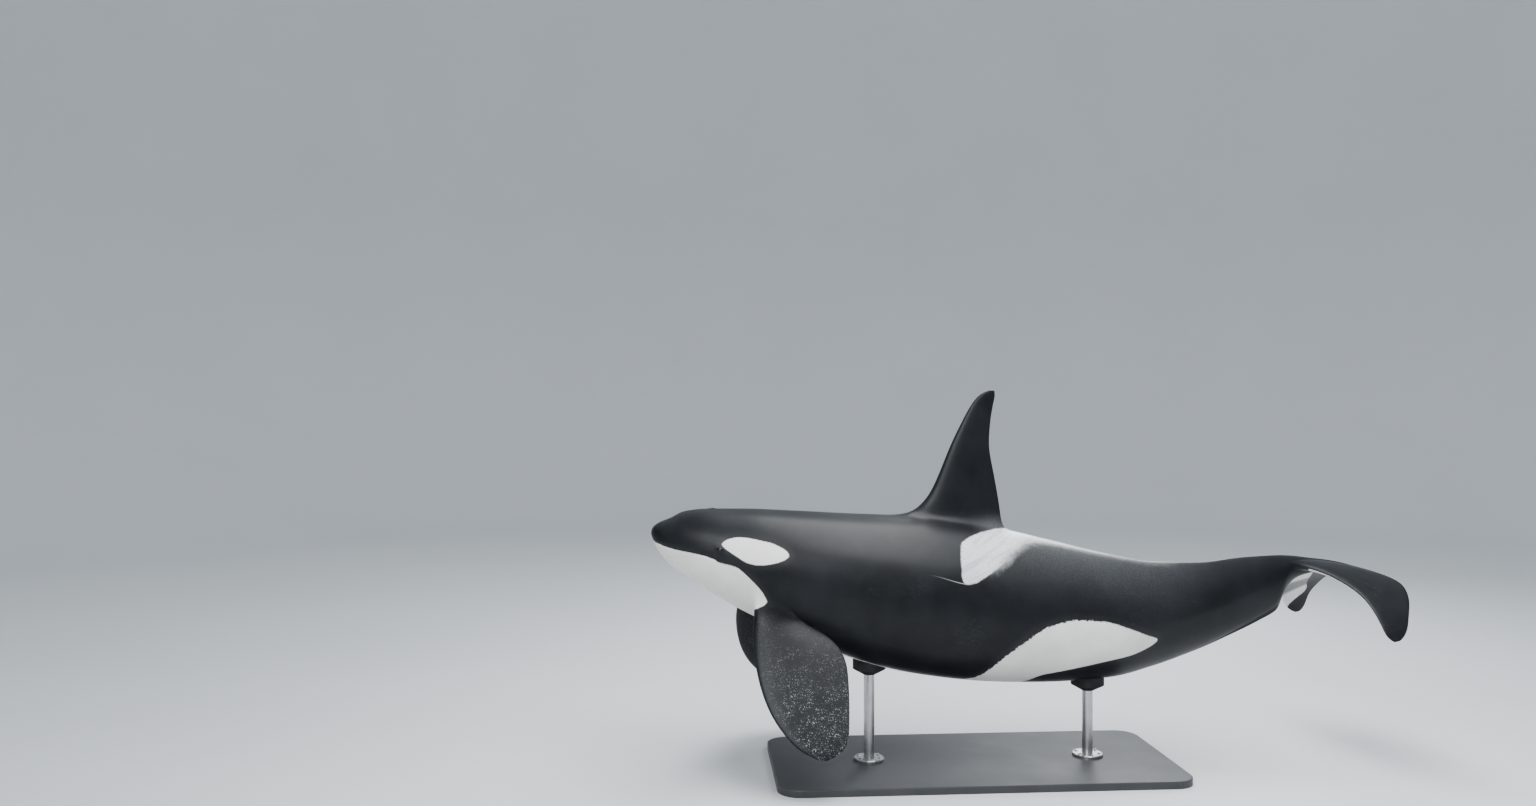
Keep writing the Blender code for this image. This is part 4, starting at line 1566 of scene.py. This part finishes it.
stageLook = {
    "flat": 20.0,            # radius of the flat floor
    "cove": 9.0,             # radius of the curve up to the wall
    "wall": 22.0,
    "around": 96,
    "coveSteps": 12,
    # name, place, what it faces, size, watts, colour
    "lights": (
        ("lightOver", (1.5, 0.2, 9.0), (0, 0.2, 1.8), (4, 11), 950, (1.0, 1.0, 1.0)),
        ("lightCamera", (12, -6, 8.0), (0, -0.5, 1.6), (6, 6), 800, (0.98, 0.99, 1.0)),
        ("lightBehind", (-9, 4, 7), (0, 0.5, 1.8), (4, 4), 380, (0.95, 0.97, 1.0)),
    ),
    "air": ((0.80, 0.86, 0.92, 1), 0.9),   # colour and strength of the light from all round
    "camera": (9.918, 0.293, 3.1),
    "heading": math.radians(86),
    "lens": 27.516,          # millimetres, as the sensor
    "sensor": 36,
    "seesTo": 200,
}


def modelFloor():
    # a wide round floor that curves up into a wall all round
    around, steps = stageLook["around"], stageLook["coveSteps"]
    bpy.ops.mesh.primitive_circle_add(vertices=around, radius=stageLook["flat"], fill_type="NGON")
    floor = bpy.context.object
    floor.name = floor.data.name = "floor"
    openPiece()
    bpy.ops.mesh.select_mode(type="EDGE")
    bpy.ops.mesh.select_all(action="SELECT")
    radius, height = stageLook["flat"], 0.0
    for step in range(1, steps + 1):
        turn = math.pi / 2 * step / steps
        wide = stageLook["flat"] + stageLook["cove"] * math.sin(turn)
        tall = stageLook["cove"] * (1 - math.cos(turn))
        bpy.ops.mesh.extrude_edges_move(TRANSFORM_OT_translate={"value": (0, 0, tall - height)})
        grow = wide / radius
        bpy.ops.transform.resize(value=(grow, grow, 1), center_override=(0, 0, tall))
        radius, height = wide, tall
    rest = stageLook["wall"] - height
    bpy.ops.mesh.extrude_edges_move(TRANSFORM_OT_translate={"value": (0, 0, rest)})
    bpy.ops.object.mode_set(mode="OBJECT")
    bpy.ops.object.shade_smooth()
    floor.data.materials.append(floorMaterial())


def addLight(name, place, target, size, power, colour):
    place, target = Vector(place), Vector(target)
    bpy.ops.object.light_add(type="AREA", location=place)
    light = bpy.context.object
    light.name = name
    light.rotation_euler = (target - place).to_track_quat("-Z", "Y").to_euler()
    light.data.shape = "RECTANGLE"
    light.data.size, light.data.size_y = size
    light.data.energy = power
    light.data.color = colour


def addCamera():
    # at the photo's viewing angle
    place = Vector(stageLook["camera"]) + toFrame
    bpy.ops.object.camera_add(location=place, rotation=(math.pi / 2, 0, stageLook["heading"]))
    camera = bpy.context.object
    camera.name = "photoView"
    camera.data.sensor_fit = "HORIZONTAL"
    camera.data.sensor_width = stageLook["sensor"]
    camera.data.lens = stageLook["lens"]
    camera.data.clip_end = stageLook["seesTo"]
    bpy.context.scene.camera = camera


def lightAir():
    world = bpy.data.worlds.new("soft studio")
    bpy.context.scene.world = world
    world.use_nodes = True
    background = world.node_tree.nodes["Background"]
    background.inputs["Color"].default_value, background.inputs["Strength"].default_value = stageLook["air"]


modelFloor()
for light in stageLook["lights"]:
    addLight(*light)
lightAir()
addCamera()
bpy.context.scene.view_settings.view_transform = "AgX"
bpy.context.scene.view_settings.look = "AgX - Medium High Contrast"
print("stage set")
